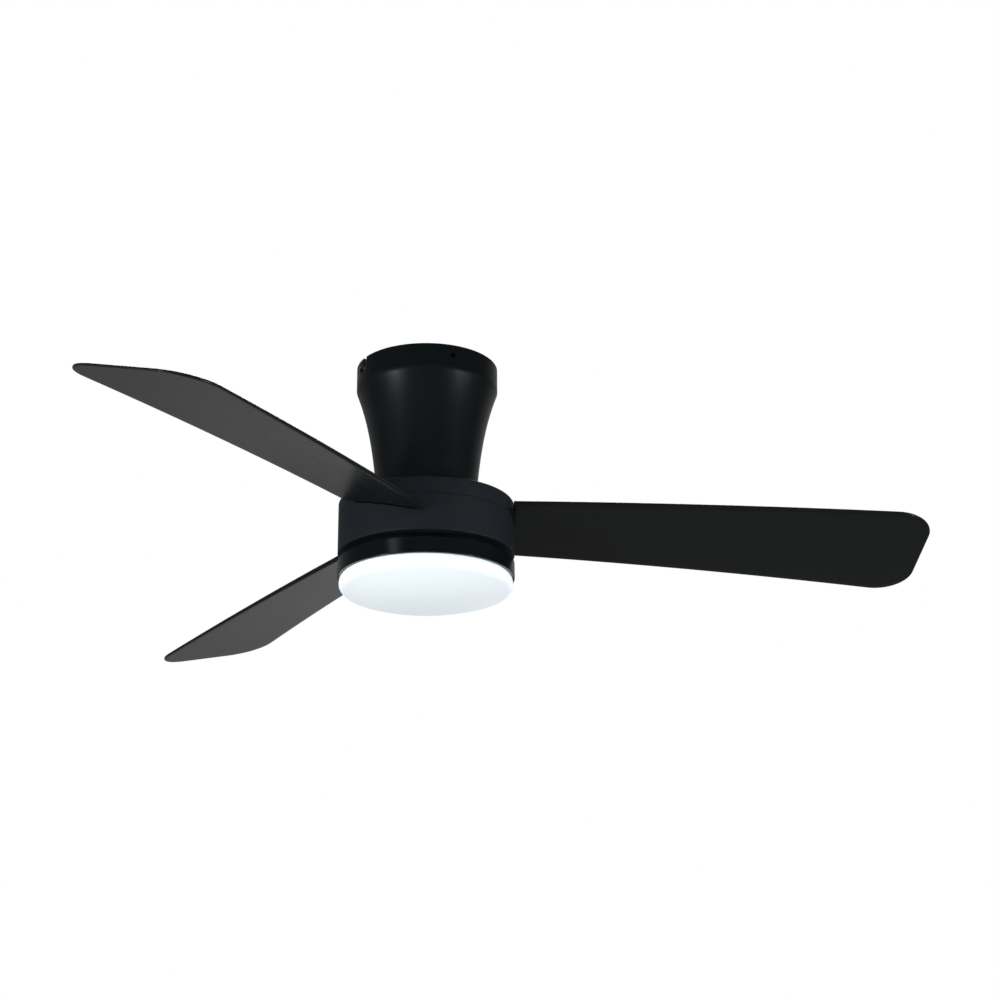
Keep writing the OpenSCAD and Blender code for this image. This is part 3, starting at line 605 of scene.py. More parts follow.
@dataclass(frozen=True)
class GrainedPlastic:
    """Moulded plastic with a fine lengthwise grain that follows the piece's own map."""

    name: str
    colour: tuple[float, float, float]
    roughness: float
    specular: float = 0.3

    def build(self) -> bpy.types.Material:
        """Makes the finish.

        Returns:
            The material.
        """
        n = Nodes(self.name)
        along = n.place((1.0, 1.0, 1.0), "UV")
        streaks = n.noise(n.place((9.0, 420.0, 1.0), "UV"), 1.0, 5.0, 0.6)
        fine = n.noise(n.place((30.0, 1600.0, 1.0), "UV"), 1.0, 3.0, 0.6)
        cloud = n.noise(along, 6.0, 2.0)
        n.link(n.ramp(streaks, [(0.25, scaled(self.colour, 0.82)), (0.5, self.colour),
                                (0.8, scaled(self.colour, 1.25))]), n.shader.inputs["Base Color"])
        mixed = n.add("ShaderNodeMath", operation="ADD")
        n.link(n.span(streaks, self.roughness - 0.05, self.roughness + 0.05), mixed.inputs[0])
        n.link(n.span(cloud, -0.02, 0.02), mixed.inputs[1])
        n.link(mixed.outputs[0], n.shader.inputs["Roughness"])
        relief = n.bump(streaks, 0.03 * MM)
        n.link(n.bump(fine, 0.012 * MM, 1.0, relief), n.shader.inputs["Normal"])
        n.set(Specular_IOR_Level=self.specular)
        return n.material


@dataclass(frozen=True)
class MouldedPlastic:
    """Plain moulded plastic: a spark-eroded texture, slight flow marks and soft gloss."""

    name: str
    colour: tuple[float, float, float]
    roughness: float
    relief: float = 0.02
    specular: float = 0.45

    def build(self) -> bpy.types.Material:
        """Makes the finish.

        Returns:
            The material.
        """
        n = Nodes(self.name)
        flat = n.place((1, 1, 1))
        flow = n.noise(n.place((1, 1, 4)), 22.0, 3.0)
        texture = n.noise(flat, 1800.0, 2.0)
        shade = n.mixed(flow, scaled(self.colour, 0.93), scaled(self.colour, 1.06))
        n.link(shade, n.shader.inputs["Base Color"])
        n.link(n.span(texture, self.roughness * 0.88, self.roughness * 1.12), n.shader.inputs["Roughness"])
        n.link(n.bump(texture, self.relief * MM), n.shader.inputs["Normal"])
        n.set(Specular_IOR_Level=self.specular)
        return n.material


@dataclass(frozen=True)
class Opal:
    """Opal acrylic: milky, with a soft surface gloss, and painted light: a faint emission graded by height,
    stronger on the dome than under the ring, that evens out the studio light and shade on it.
    """

    name: str
    colour: tuple[float, float, float]
    # Painted light: the emission's tint and its strengths under the ring and on the dome, graded between the
    # heights rim_z and dome_z.
    painted_light: tuple[float, float, float]
    rim_painted_light: float
    dome_painted_light: float
    rim_z: float
    dome_z: float

    def build(self) -> bpy.types.Material:
        """Makes the finish.

        Returns:
            The material.
        """
        n = Nodes(self.name)
        split = n.add("ShaderNodeSeparateXYZ")
        n.link(n.coord.outputs["Object"], split.inputs["Vector"])
        depth = n.add("ShaderNodeMapRange", interpolation_type="SMOOTHSTEP")
        depth.inputs["From Min"].default_value = self.dome_z * MM
        depth.inputs["From Max"].default_value = self.rim_z * MM
        n.link(split.outputs["Z"], depth.inputs["Value"])
        milk = n.noise(n.place((1, 1, 1)), 18.0, 2.0)
        n.link(n.mixed(milk, scaled(self.colour, 0.985), self.colour), n.shader.inputs["Base Color"])
        # Painted light: emission strength set by height, between the ring's level and the dome's, evening out
        # the light and shade that the lamps give the diffuser.
        painted_light = n.span(depth.outputs["Result"], self.dome_painted_light, self.rim_painted_light)
        n.link(painted_light, n.shader.inputs["Emission Strength"])
        ripple = n.noise(n.place((1, 1, 1)), 60.0, 1.0)
        n.link(n.bump(ripple, 0.01 * MM), n.shader.inputs["Normal"])
        n.set(Roughness=0.32, Emission_Color=(*self.painted_light, 1.0), Specular_IOR_Level=0.35)
        return n.material


@dataclass(frozen=True)
class Metal:
    """Bare or plated metal, with tool marks that run one way or round the axis."""

    name: str
    colour: tuple[float, float, float]
    roughness: float
    marks: tuple[float, float, float] = (300.0, 300.0, 300.0)
    relief: float = 0.006
    stain: float = 0.12

    def build(self) -> bpy.types.Material:
        """Makes the finish.

        Returns:
            The material.
        """
        n = Nodes(self.name)
        marks = n.noise(n.place(self.marks), 1.0, 4.0, 0.65)
        cloud = n.noise(n.place((1, 1, 1)), 45.0, 4.0)
        n.link(n.mixed(cloud, scaled(self.colour, 1 - self.stain), scaled(self.colour, 1 + self.stain / 2)),
               n.shader.inputs["Base Color"])
        n.link(n.span(marks, self.roughness * 0.7, self.roughness * 1.3), n.shader.inputs["Roughness"])
        n.link(n.bump(marks, self.relief * MM), n.shader.inputs["Normal"])
        n.set(Metallic=1.0)
        return n.material


@dataclass(frozen=True)
class Banded:
    """A stack or a winding: fine parallel ridges along one axis, such as laminations or wire."""

    name: str
    colour: tuple[float, float, float]
    groove: tuple[float, float, float]
    direction: str
    pitch: float
    metallic: float
    roughness: float

    def build(self) -> bpy.types.Material:
        """Makes the finish.

        Returns:
            The material.
        """
        n = Nodes(self.name)
        wave = n.add("ShaderNodeTexWave", wave_type="BANDS", bands_direction=self.direction,
                     wave_profile="SIN", Scale=math.pi / (10 * self.pitch * MM), Distortion=0.15)
        n.link(n.coord.outputs["Object"], wave.inputs["Vector"])
        cloud = n.noise(n.place((1, 1, 1)), 90.0, 3.0)
        stops = [(0.0, self.groove), (0.35, self.colour), (1.0, scaled(self.colour, 1.1))]
        n.link(n.ramp(wave.outputs["Fac"], stops), n.shader.inputs["Base Color"])
        n.link(n.span(cloud, self.roughness * 0.8, self.roughness * 1.2), n.shader.inputs["Roughness"])
        n.link(n.bump(wave.outputs["Fac"], self.pitch * 0.3 * MM), n.shader.inputs["Normal"])
        n.set(Metallic=self.metallic)
        return n.material


class Finishes:
    """Every finish of the fan, built once and handed out by the record's slot name."""

    def __init__(self) -> None:
        """Builds the materials."""
        made = [
            PowderCoat("canopy_paint", (0.0038, 0.0048, 0.0054), 0.3, specular=0.42),
            PowderCoat("housing_paint", (0.0086, 0.0107, 0.0132), 0.62, peel=0.03, specular=0.3),
            PowderCoat("ring_gloss", (0.0042, 0.0044, 0.0056), 0.2, peel=0.006, specular=0.5),
            PowderCoat("pan_paint", (0.0022, 0.0022, 0.0024), 0.7, specular=0.2),
            GrainedPlastic("blade_black", (0.0085, 0.0092, 0.0092), 0.28),
            # Opal diffuser with painted light: emission 0.52 on the dome, easing to 0.41 under the ring.
            Opal("opal", (0.75, 0.785, 0.8), (0.9, 0.963, 1.0), 0.41, 0.52, -296.0, -318.0),
            # Black screws: their own black finish, darkened further below the canopy paint as painted shade,
            # so the heads in the fixings read as dark holes.
            Metal("black_screws", (0.016, 0.016, 0.017), 0.5),
            Metal("zinc_steel", (0.62, 0.64, 0.66), 0.34, (60.0, 1400.0, 900.0)),
            Metal("bare_steel", (0.52, 0.52, 0.53), 0.3, (120.0, 120.0, 4200.0)),
            Metal("bearing_steel", (0.72, 0.72, 0.74), 0.14, (200.0, 200.0, 6000.0), 0.002),
            Metal("cast_aluminium", (0.6, 0.61, 0.62), 0.48, (700.0, 700.0, 700.0), 0.03),
            Metal("aluminium_plate", (0.78, 0.79, 0.8), 0.3, (40.0, 2600.0, 60.0)),
            Banded("lamination", (0.13, 0.125, 0.125), (0.02, 0.02, 0.02), "Z", 0.5, 0.6, 0.5),
            MouldedPlastic("magnet", (0.03, 0.03, 0.033), 0.55, 0.03),
            Banded("copper", (0.62, 0.24, 0.09), (0.12, 0.03, 0.01), "Z", 0.6, 1.0, 0.28),
            Metal("brass_screws", (0.75, 0.52, 0.2), 0.3),
            Metal("earth_green", (0.05, 0.36, 0.1), 0.4),
            MouldedPlastic("terminal_plastic", (0.76, 0.73, 0.62), 0.38),
            MouldedPlastic("grey_plastic", (0.05, 0.05, 0.053), 0.5, 0.03),
            MouldedPlastic("white_plastic", (0.74, 0.74, 0.72), 0.42),
            MouldedPlastic("board_white", (0.82, 0.82, 0.8), 0.3, 0.01),
            MouldedPlastic("led_phosphor", (0.9, 0.72, 0.2), 0.25, 0.01),
            MouldedPlastic("black_rubber", (0.012, 0.012, 0.012), 0.75, 0.04, 0.3),
        ]
        self.by_slot = {finish.name: finish.build() for finish in made}

    def dress(self, obj: bpy.types.Object, slot: str) -> None:
        """Gives a piece its finish as its only material.

        Args:
            obj: the piece.
            slot: the name of its finish.
        """
        obj.data.materials.clear()
        obj.data.materials.append(self.by_slot[slot])


# ---- sub-assemblies --------------------------------------------------------------------


@dataclass
class Piece:
    """A finished piece: what it is, what carries it and what it stands for."""

    obj: bpy.types.Object
    slot: str
    body: Body
    stands_for: Sequence[str]

    def install(self, finishes: Finishes) -> None:
        """Dresses the piece, fixes it to its body and hides what it stands for.

        Args:
            finishes: the finishes by slot.
        """
        finishes.dress(self.obj, self.slot)
        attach(self.obj, self.body.value)
        if self.stands_for:
            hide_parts(*self.stands_for)
        LOG.info("%s: %d faces, rides on %s", self.obj.name, len(self.obj.data.polygons), self.body.value)


class Assembly:
    """A sub-assembly: it builds its pieces, then dresses them and fixes them to their bodies."""

    def build(self) -> list[Piece]:
        """The finished pieces."""
        raise NotImplementedError

    def dress(self, pieces: Sequence[Piece], finishes: Finishes) -> None:
        """Gives each piece its finish and its body.

        Args:
            pieces: what build gave.
            finishes: the finishes by slot.
        """
        for piece in pieces:
            piece.install(finishes)


@dataclass
class Canopy(Assembly):
    """The flared shroud between the ceiling and the motor housing, with its four fixings."""

    rim_r: float = 94.5
    band_h: float = 32.0
    foot_r: float = 65.5
    height: float = 188.5
    flare: float = 92.0
    sheet: float = 1.2
    floor_t: float = 2.0
    bore_r: float = 11.5
    fix_azimuth: float = -70.6
    fix_drop: float = 14.0
    fix_d: float = 7.0
    slot_turn: float = 8.6
    blend: float = 1.2
    foot_round: float = 3.0
    screw_gap: float = 0.35
    screw_sink: float = 0.5
    shank_r: float = 2.0
    shank_in: float = 84.0
    head_in: float = 91.8
    socket_r: float = 1.5

    def waist(self, drop: np.ndarray) -> np.ndarray:
        """Radius at a drop: the rim's, less a share that dies away exponentially below the band.

        Args:
            drop: depth below the rim.

        Returns:
            The radius at each depth.
        """
        share = (1 - np.exp(-(drop - self.band_h) / self.flare)) / (
            1 - math.exp(-(self.height - self.band_h) / self.flare))
        return np.where(drop <= self.band_h, self.rim_r, self.rim_r - (self.rim_r - self.foot_r) * share)

    def profile(self, inset: float) -> np.ndarray:
        """The wall's line from the rim down the waist and in along the floor.

        The radius is the mean of three radii of the waist, which blends the band's lower edge.

        Args:
            inset: thickness to step inwards by, 0 for the outer skin.

        Returns:
            Radius and height of each point.
        """
        band = np.linspace(0, self.band_h - 1.5, 32)
        waist = self.band_h - 1.5 + (self.height - 4 - self.band_h) * np.linspace(0.01, 1, 70)
        drop = np.concatenate([band, waist])
        radius = (self.waist(drop - self.blend) + self.waist(drop) + self.waist(drop + self.blend)) / 3
        wall = np.stack([radius - inset, -drop], -1)
        foot_r = radius[-1] - inset
        floor_inset = self.floor_t if inset else 0.0
        turn_r = max(self.foot_round - inset, 0.6)
        bottom = -self.height + floor_inset
        turn = arc(foot_r - turn_r - 0.2, bottom + turn_r, turn_r, 0, -90, 6)
        floor = line(foot_r - turn_r - 1.2, bottom, self.bore_r, bottom, 8)
        return np.vstack([wall, turn, floor])

    def openings(self) -> list[Outline]:
        """Two round holes and two L-shaped slots, a quarter turn apart.

        Returns:
            Their outlines; a slot's chain runs round the wall and then up past its rim.
        """
        found = []
        mm = math.radians(1) * self.rim_r
        for i in range(4):
            a = (self.fix_azimuth + 90 * i + 180) % 360 - 180
            seat = [a * mm, -self.fix_drop]
            chain = [seat]
            if i % 2:
                entry = (a + self.slot_turn) * mm
                chain += [[entry, -self.fix_drop], [entry, 8.0]]
            found.append(Outline(np.array(chain), self.fix_d / 2))
        return found

    def build(self) -> list[Piece]:
        """The shroud, and the four screws in it as one piece."""
        wall = Wall(self.profile(0.0), self.profile(self.sheet), self.rim_r, self.openings())
        shroud = make_object("canopy_shroud", wall.build())
        return [Piece(shroud, "canopy_paint", Body.FIXED, ["canopy"]), self.screws()]

    def screws(self) -> Piece:
        """Flush screws in the fixings: a chamfered head with a hexagonal socket, and a shank.

        The socket's radius at angle a is the distance of its flats over the cosine of the angle
        between a and the middle of the nearest flat.

        Returns:
            The four screws as one piece.
        """
        count, chamfer = 48, 0.4
        a = azimuths(count)
        head_r = self.fix_d / 2 - self.screw_gap
        face = self.rim_r - self.screw_sink
        hexagon = self.socket_r / np.cos((a + math.pi / 6) % (math.pi / 3) - math.pi / 6)
        rounds = [(self.shank_r, self.shank_in), (self.shank_r, self.head_in), (head_r, self.head_in),
                  (head_r, face - chamfer), (head_r - chamfer, face)]
        rings = [np.stack([np.full(count, x), r * np.cos(a), r * np.sin(a)], -1) for r, x in rounds]
        rings += [np.stack([np.full(count, x), hexagon * k * np.cos(a), hexagon * k * np.sin(a)], -1)
                  for k, x in ((1.0, face), (0.97, face - 1.2))]
        one = loft(np.array(rings), cap_start=True, cap_end=True)
        screws: Optional[Mesh] = None
        for i in range(4):
            t = math.radians(self.fix_azimuth + 90 * i)
            turn = np.array([[math.cos(t), -math.sin(t), 0, 0], [math.sin(t), math.cos(t), 0, 0],
                             [0, 0, 1, -self.fix_drop], [0, 0, 0, 1]])
            turned = one.moved(turn)
            screws = turned if screws is None else screws.joined(turned)
        return Piece(make_object("canopy_fixing_screws", screws), "black_screws", Body.FIXED,
                     ["canopy_screws"])


@dataclass
class Blades(Assembly):
    """The three blades, each a slightly bowed plank with a straight root end, a tongue and a rounded tip."""

    count: int = 3
    drum_r: float = 115.5
    z: float = -222.3
    pitch: float = 15.0
    droop: float = 2.75
    bow: float = 3.2
    sweep_r: float = 660.0
    root_chord: float = 120.4
    lead_tip: float = 91.5
    trail_tip: float = 96.5
    trail_sag: float = 1.4
    tip_round: float = 48.0
    root_t: float = 6.5
    tip_t: float = 3.0
    plank_in: float = 110.5
    edge_r: float = 1.1
    tongue_in: float = 70.0
    tongue_half: float = 45.0
    tongue_round: float = 2.0
    tongue_lap: float = 1.0
    slot_end: float = 1.2

    def __post_init__(self) -> None:
        """Places the tip line so that the rounded corner just reaches the sweep."""
        c = self.trail_tip - self.tip_round
        self.tip_x = math.sqrt((self.sweep_r - self.tip_round) ** 2 - c * c) + self.tip_round
        self.corner_x = self.tip_x - self.tip_round

    def lead(self, x: np.ndarray) -> np.ndarray:
        """The leading edge's y at each x: a straight line that splays outwards."""
        s = (x - self.drum_r) / (self.tip_x - self.drum_r)
        return -(self.root_chord / 2 + (self.lead_tip - self.root_chord / 2) * s)

    def trail(self, x: np.ndarray) -> np.ndarray:
        """The trailing edge's y at each x: a straight line less a parabola."""
        s = (x - self.drum_r) / (self.tip_x - self.drum_r)
        straight = self.root_chord / 2 + (self.trail_tip - self.root_chord / 2) * s
        return straight - 4 * self.trail_sag * s * (1 - s)

    def edges(self, x: np.ndarray) -> tuple[np.ndarray, np.ndarray]:
        """Both edges with the tip's round corners: past the corner's centre they follow its circle.

        Args:
            x: places along the blade.

        Returns:
            The leading and the trailing edge's y at each place.
        """
        cx = self.corner_x
        slopes = [float(f(np.array(cx)) - f(np.array(cx - 1.0))) for f in (self.lead, self.trail)]
        lead_c = float(self.lead(np.array(cx))) + self.tip_round * math.hypot(1, slopes[0])
        trail_c = float(self.trail(np.array(cx))) - self.tip_round * math.hypot(1, slopes[1])
        reach = np.sqrt(np.maximum(self.tip_round ** 2 - np.maximum(x - cx, 0) ** 2, 0))
        past = x > cx
        return (np.where(past, lead_c - reach, np.maximum(self.lead(x), lead_c - self.tip_round)),
                np.where(past, trail_c + reach, np.minimum(self.trail(x), trail_c + self.tip_round)))

    def thickness(self, x: np.ndarray) -> np.ndarray:
        """Even inside the drum, then tapering to the tip."""
        s = np.clip((x - self.drum_r) / (self.tip_x - self.drum_r), 0, 1)
        return self.root_t + (self.tip_t - self.root_t) * s

    def rise(self, x: np.ndarray) -> np.ndarray:
        """Height of the bowed middle plane: a parabola between the drum and the tip."""
        s = np.clip((x - self.drum_r) / (self.tip_x - self.drum_r), 0, 1)
        return 4 * self.bow * s * (1 - s)

    def stations(self) -> np.ndarray:
        """Places along the blade: even ones, then closer ones round the corners and at the tip.

        Returns:
            The places, from the plank's inner end to the tip.
        """
        root = self.plank_in + self.edge_r * np.array([0.0, 0.1, 0.3, 0.6, 1.0])
        span = np.linspace(self.plank_in + 6, self.corner_x, 44)
        corner = self.corner_x + self.tip_round * np.sin(np.radians(np.linspace(4, 84, 18)))
        edge = self.tip_x - self.edge_r * np.array([1.0, 0.6, 0.3, 0.1, 0.0])
        return np.concatenate([root, span, corner[corner < edge[0] - 0.05], edge])

    def blade(self) -> Mesh:
        """One blade in its own frame.

        Each station is a closed loop round the section. Half the thickness h falls off within the
        edge radius c of the outline as h - c + sqrt(c^2 - (c - e)^2), where e is the distance from it.

        Returns:
            The closed blade, mapped with metres along it and across it.
        """
        x = self.stations()
        lo, hi = self.edges(x)
        c = self.edge_r
        inner = np.array([0.0, 0.1, 0.3, 0.6, 1.0]) * c
        share = np.linspace(0, 1, 23)[1:-1]
        half_c = np.minimum(c, (hi - lo) / 4)[:, None]
        scale = half_c / c
        middle = (lo[:, None] + c * scale) + (hi - lo - 2 * c * scale[:, 0])[:, None] * share
        y = np.hstack([lo[:, None] + inner * scale, middle, hi[:, None] - inner[::-1] * scale])
        xs = np.broadcast_to(x[:, None], y.shape)
        half = np.broadcast_to(self.thickness(x)[:, None] / 2, y.shape)
        cx = self.corner_x
        corner_lo, corner_hi = lo[x <= cx][-1] + self.tip_round, hi[x <= cx][-1] - self.tip_round
        lo_all, hi_all = self.edges(np.minimum(x, cx))
        e = np.minimum(y - lo_all[:, None], hi_all[:, None] - y)
        e = np.minimum(e, np.minimum(self.tip_x - xs, xs - self.plank_in))
        for cy, side in ((corner_lo, -1), (corner_hi, 1)):
            in_corner = (xs > cx) & ((y - cy) * side > 0)
            e = np.where(in_corner, self.tip_round - np.hypot(xs - cx, y - cy), e)
        e = np.clip(e, 0, c)
        z = half - c + np.sqrt(np.maximum(c * c - (c - e) ** 2, 0))
        rise = self.rise(xs)
        top = np.stack([xs, y, rise + z], -1)
        under = np.stack([xs, y, rise - z], -1)[:, ::-1]
        mesh = loft(np.concatenate([top, under], 1))
        mesh = mesh.joined(Mesh(mesh.points, self.end_quads(y.shape[1], 0)))
        mesh = mesh.joined(Mesh(mesh.points[:y.size * 2], self.end_quads(y.shape[1], len(x) - 1)))
        return Mesh(mesh.points, mesh.quads, mesh.points[:, :2] * MM)

    @staticmethod
    def end_quads(across: int, station: int) -> np.ndarray:
        """Faces that close an end: each joins a stretch of the upper edge to the one below it.

        Args:
            across: points across the upper side of a station.
            station: number of the station.

        Returns:
            The corners of each face.
        """
        i = np.arange(across - 1)
        return np.stack([i, i + 1, 2 * across - 2 - i, 2 * across - 1 - i], -1) + 2 * across * station

    def tongue(self) -> Mesh:
        """The narrower root that goes into the drum, a slab with quarter circles on its long edges.

        Returns:
            The closed slab, mapped as the blade is.
        """
        h, y, c = self.root_t / 2, self.tongue_half, self.tongue_round
        a = np.radians(np.arange(0, 91, 15))
        corner = [(y - c + c * math.sin(t), h - c + c * math.cos(t)) for t in a]
        right = np.array(corner + [(u, -v) for u, v in corner[::-1]])
        ring = np.vstack([right, -right])
        ends = (self.tongue_in, self.plank_in + self.tongue_lap)
        rings = np.stack([np.insert(ring, 0, x, axis=1) for x in ends])
        mesh = loft(rings, cap_start=True, cap_end=True)
        mesh.uv = mesh.points[:, :2] * MM
        return mesh

    def matrix(self, index: int) -> np.ndarray:
        """Carries a blade from its own frame to its place: slid, pitched, drooped, then turned.

        Args:
            index: number of the blade.

        Returns:
            A 4 x 4 matrix.
        """
        p, d, a = math.radians(-self.pitch), math.radians(self.droop), 2 * math.pi * index / self.count
        slide, lift = np.eye(4), np.eye(4)
        slide[:3, 3] = (-self.drum_r, 0, 0)
        lift[:3, 3] = (self.drum_r, 0, self.z)
        roll, nod, turn = np.eye(4), np.eye(4), np.eye(4)
        roll[1:3, 1:3] = [[math.cos(p), -math.sin(p)], [math.sin(p), math.cos(p)]]
        nod[0, 0], nod[0, 2], nod[2, 0], nod[2, 2] = math.cos(d), math.sin(d), -math.sin(d), math.cos(d)
        turn[:2, :2] = [[math.cos(a), -math.sin(a)], [math.sin(a), math.cos(a)]]
        return turn @ lift @ nod @ roll @ slide

    def slot_chain(self, index: int) -> np.ndarray:
        """Where a blade's middle plane crosses the drum's wall.

        Args:
            index: number of the blade.

        Returns:
            Points on the unrolled wall: distance round it and height, in millimetres.
        """
        m = self.matrix(index)
        normal, origin = m[:3, 2], m[:3, 3]
        reach = (self.tongue_half + self.slot_end - self.root_t / 2) * math.cos(math.radians(self.pitch))
        half = math.degrees(math.asin(reach / self.drum_r))
        a = np.radians(360 / self.count * index + np.linspace(-half, half, 41))
        x, y = self.drum_r * np.cos(a), self.drum_r * np.sin(a)
        z = origin[2] - ((x - origin[0]) * normal[0] + (y - origin[1]) * normal[1]) / normal[2]
        return np.stack([a * self.drum_r, z], -1)

    def build(self) -> list[Piece]:
        """The three blades, each with its tongue."""
        one = self.blade().joined(self.tongue())
        return [Piece(make_object(f"fan_blade_{i + 1}", one.moved(self.matrix(i))), "blade_black", Body.ROTOR,
                      [f"blade_{i + 1}"]) for i in range(self.count)]


@dataclass
class Drum(Assembly):
    """The turning motor housing: an upper cover and a lower shell that meet at the seam."""

    blades: Blades
    r: float = 115.5
    top: float = -191.3
    seam: float = -214.6
    bottom: float = -263.6
    wall: float = 2.0
    hole_r: float = 26.0
    cover_round: float = 3.5
    base_round: float = 2.0
    seam_gap: float = 0.5
    slot_clear: float = 0.8
    lap_h: float = 4.0
    lap_t: float = 1.5
    lap_gap: float = 0.3

    def slots(self) -> list[Outline]:
        """The slanted slots that the blades come out of.

        Returns:
            One outline for each blade.
        """
        reach = self.blades.root_t / 2 / math.cos(math.radians(self.blades.pitch)) + self.slot_clear
        found = []
        for i in range(self.blades.count):
            chain = self.blades.slot_chain(i)
            turn = 2 * math.pi * self.r
            chain = chain - [turn * round(chain[:, 0].mean() / turn), 0]
            found.append(Outline(chain, reach))
        return found

    def cover_profiles(self) -> tuple[np.ndarray, np.ndarray]:
        """Outer and inner lines of the cover, from the middle hole out and down to the seam.

        Returns:
            Two profiles of equal length.
        """
        c = self.cover_round
        rows = 46
        outer = np.vstack([line(self.hole_r, self.top, self.r - c - 1, self.top, 8),
                           arc(self.r - c, self.top - c, c, 90, 0, 10),
                           line(self.r, self.top - c - 0.4, self.r, self.seam, rows)])
        r, ci, top = self.r - self.wall, max(c - self.wall, 0.3), self.top - self.wall
        inner = np.vstack([line(self.hole_r, top, self.r - c - 1, top, 8),
                           arc(r - ci, top - ci, ci, 90, 0, 10),
                           line(r, self.top - c - 0.4, r, self.seam, rows)])
        return outer, inner

    def base_profiles(self) -> tuple[np.ndarray, np.ndarray]:
        """Outer and inner lines of the shell, from the seam down and in to the middle hole.

        Returns:
            Two profiles of equal length.
        """
        c = self.base_round
        start = self.seam - self.seam_gap
        outer = np.vstack([line(self.r, start, self.r, self.bottom + c + 0.4, 90),
                           arc(self.r - c, self.bottom + c, c, 0, -90, 10),
                           line(self.r - c - 1, self.bottom, self.hole_r, self.bottom, 8)])
        r, ci, low = self.r - self.wall, 0.3, self.bottom + self.wall
        inner = np.vstack([line(r, start, r, self.bottom + c + 0.4, 90),
                           arc(r - ci, low + ci, ci, 0, -90, 10),
                           line(r - ci - 1, low, self.hole_r, low, 8)])
        return outer, inner

    def lap_profiles(self) -> tuple[np.ndarray, np.ndarray]:
        """The lip that stands up inside the cover's wall and hides the seam.

        Returns:
            Two profiles of equal length.
        """
        r = self.r - self.wall - self.lap_gap
        z0, z1 = self.seam - self.seam_gap - self.lap_h, self.seam + self.lap_h
        return line(r, z1, r, z0, 16), line(r - self.lap_t, z1, r - self.lap_t, z0, 16)

    def build(self) -> list[Piece]:
        """The cover, and the shell with its lip.

        Returns:
            Two pieces.
        """
        slots = self.slots()
        cover, base, lap = (Wall(*profiles, self.r, slots, fine=0.6).build() for profiles in (
            self.cover_profiles(), self.base_profiles(), self.lap_profiles()))
        pieces = [("drum_upper_cover", cover, "housing_cover"),
                  ("drum_lower_shell", base.joined(lap), "housing_base")]
        return [Piece(make_object(name, mesh), "housing_paint", Body.ROTOR, [node])
                for name, mesh, node in pieces]


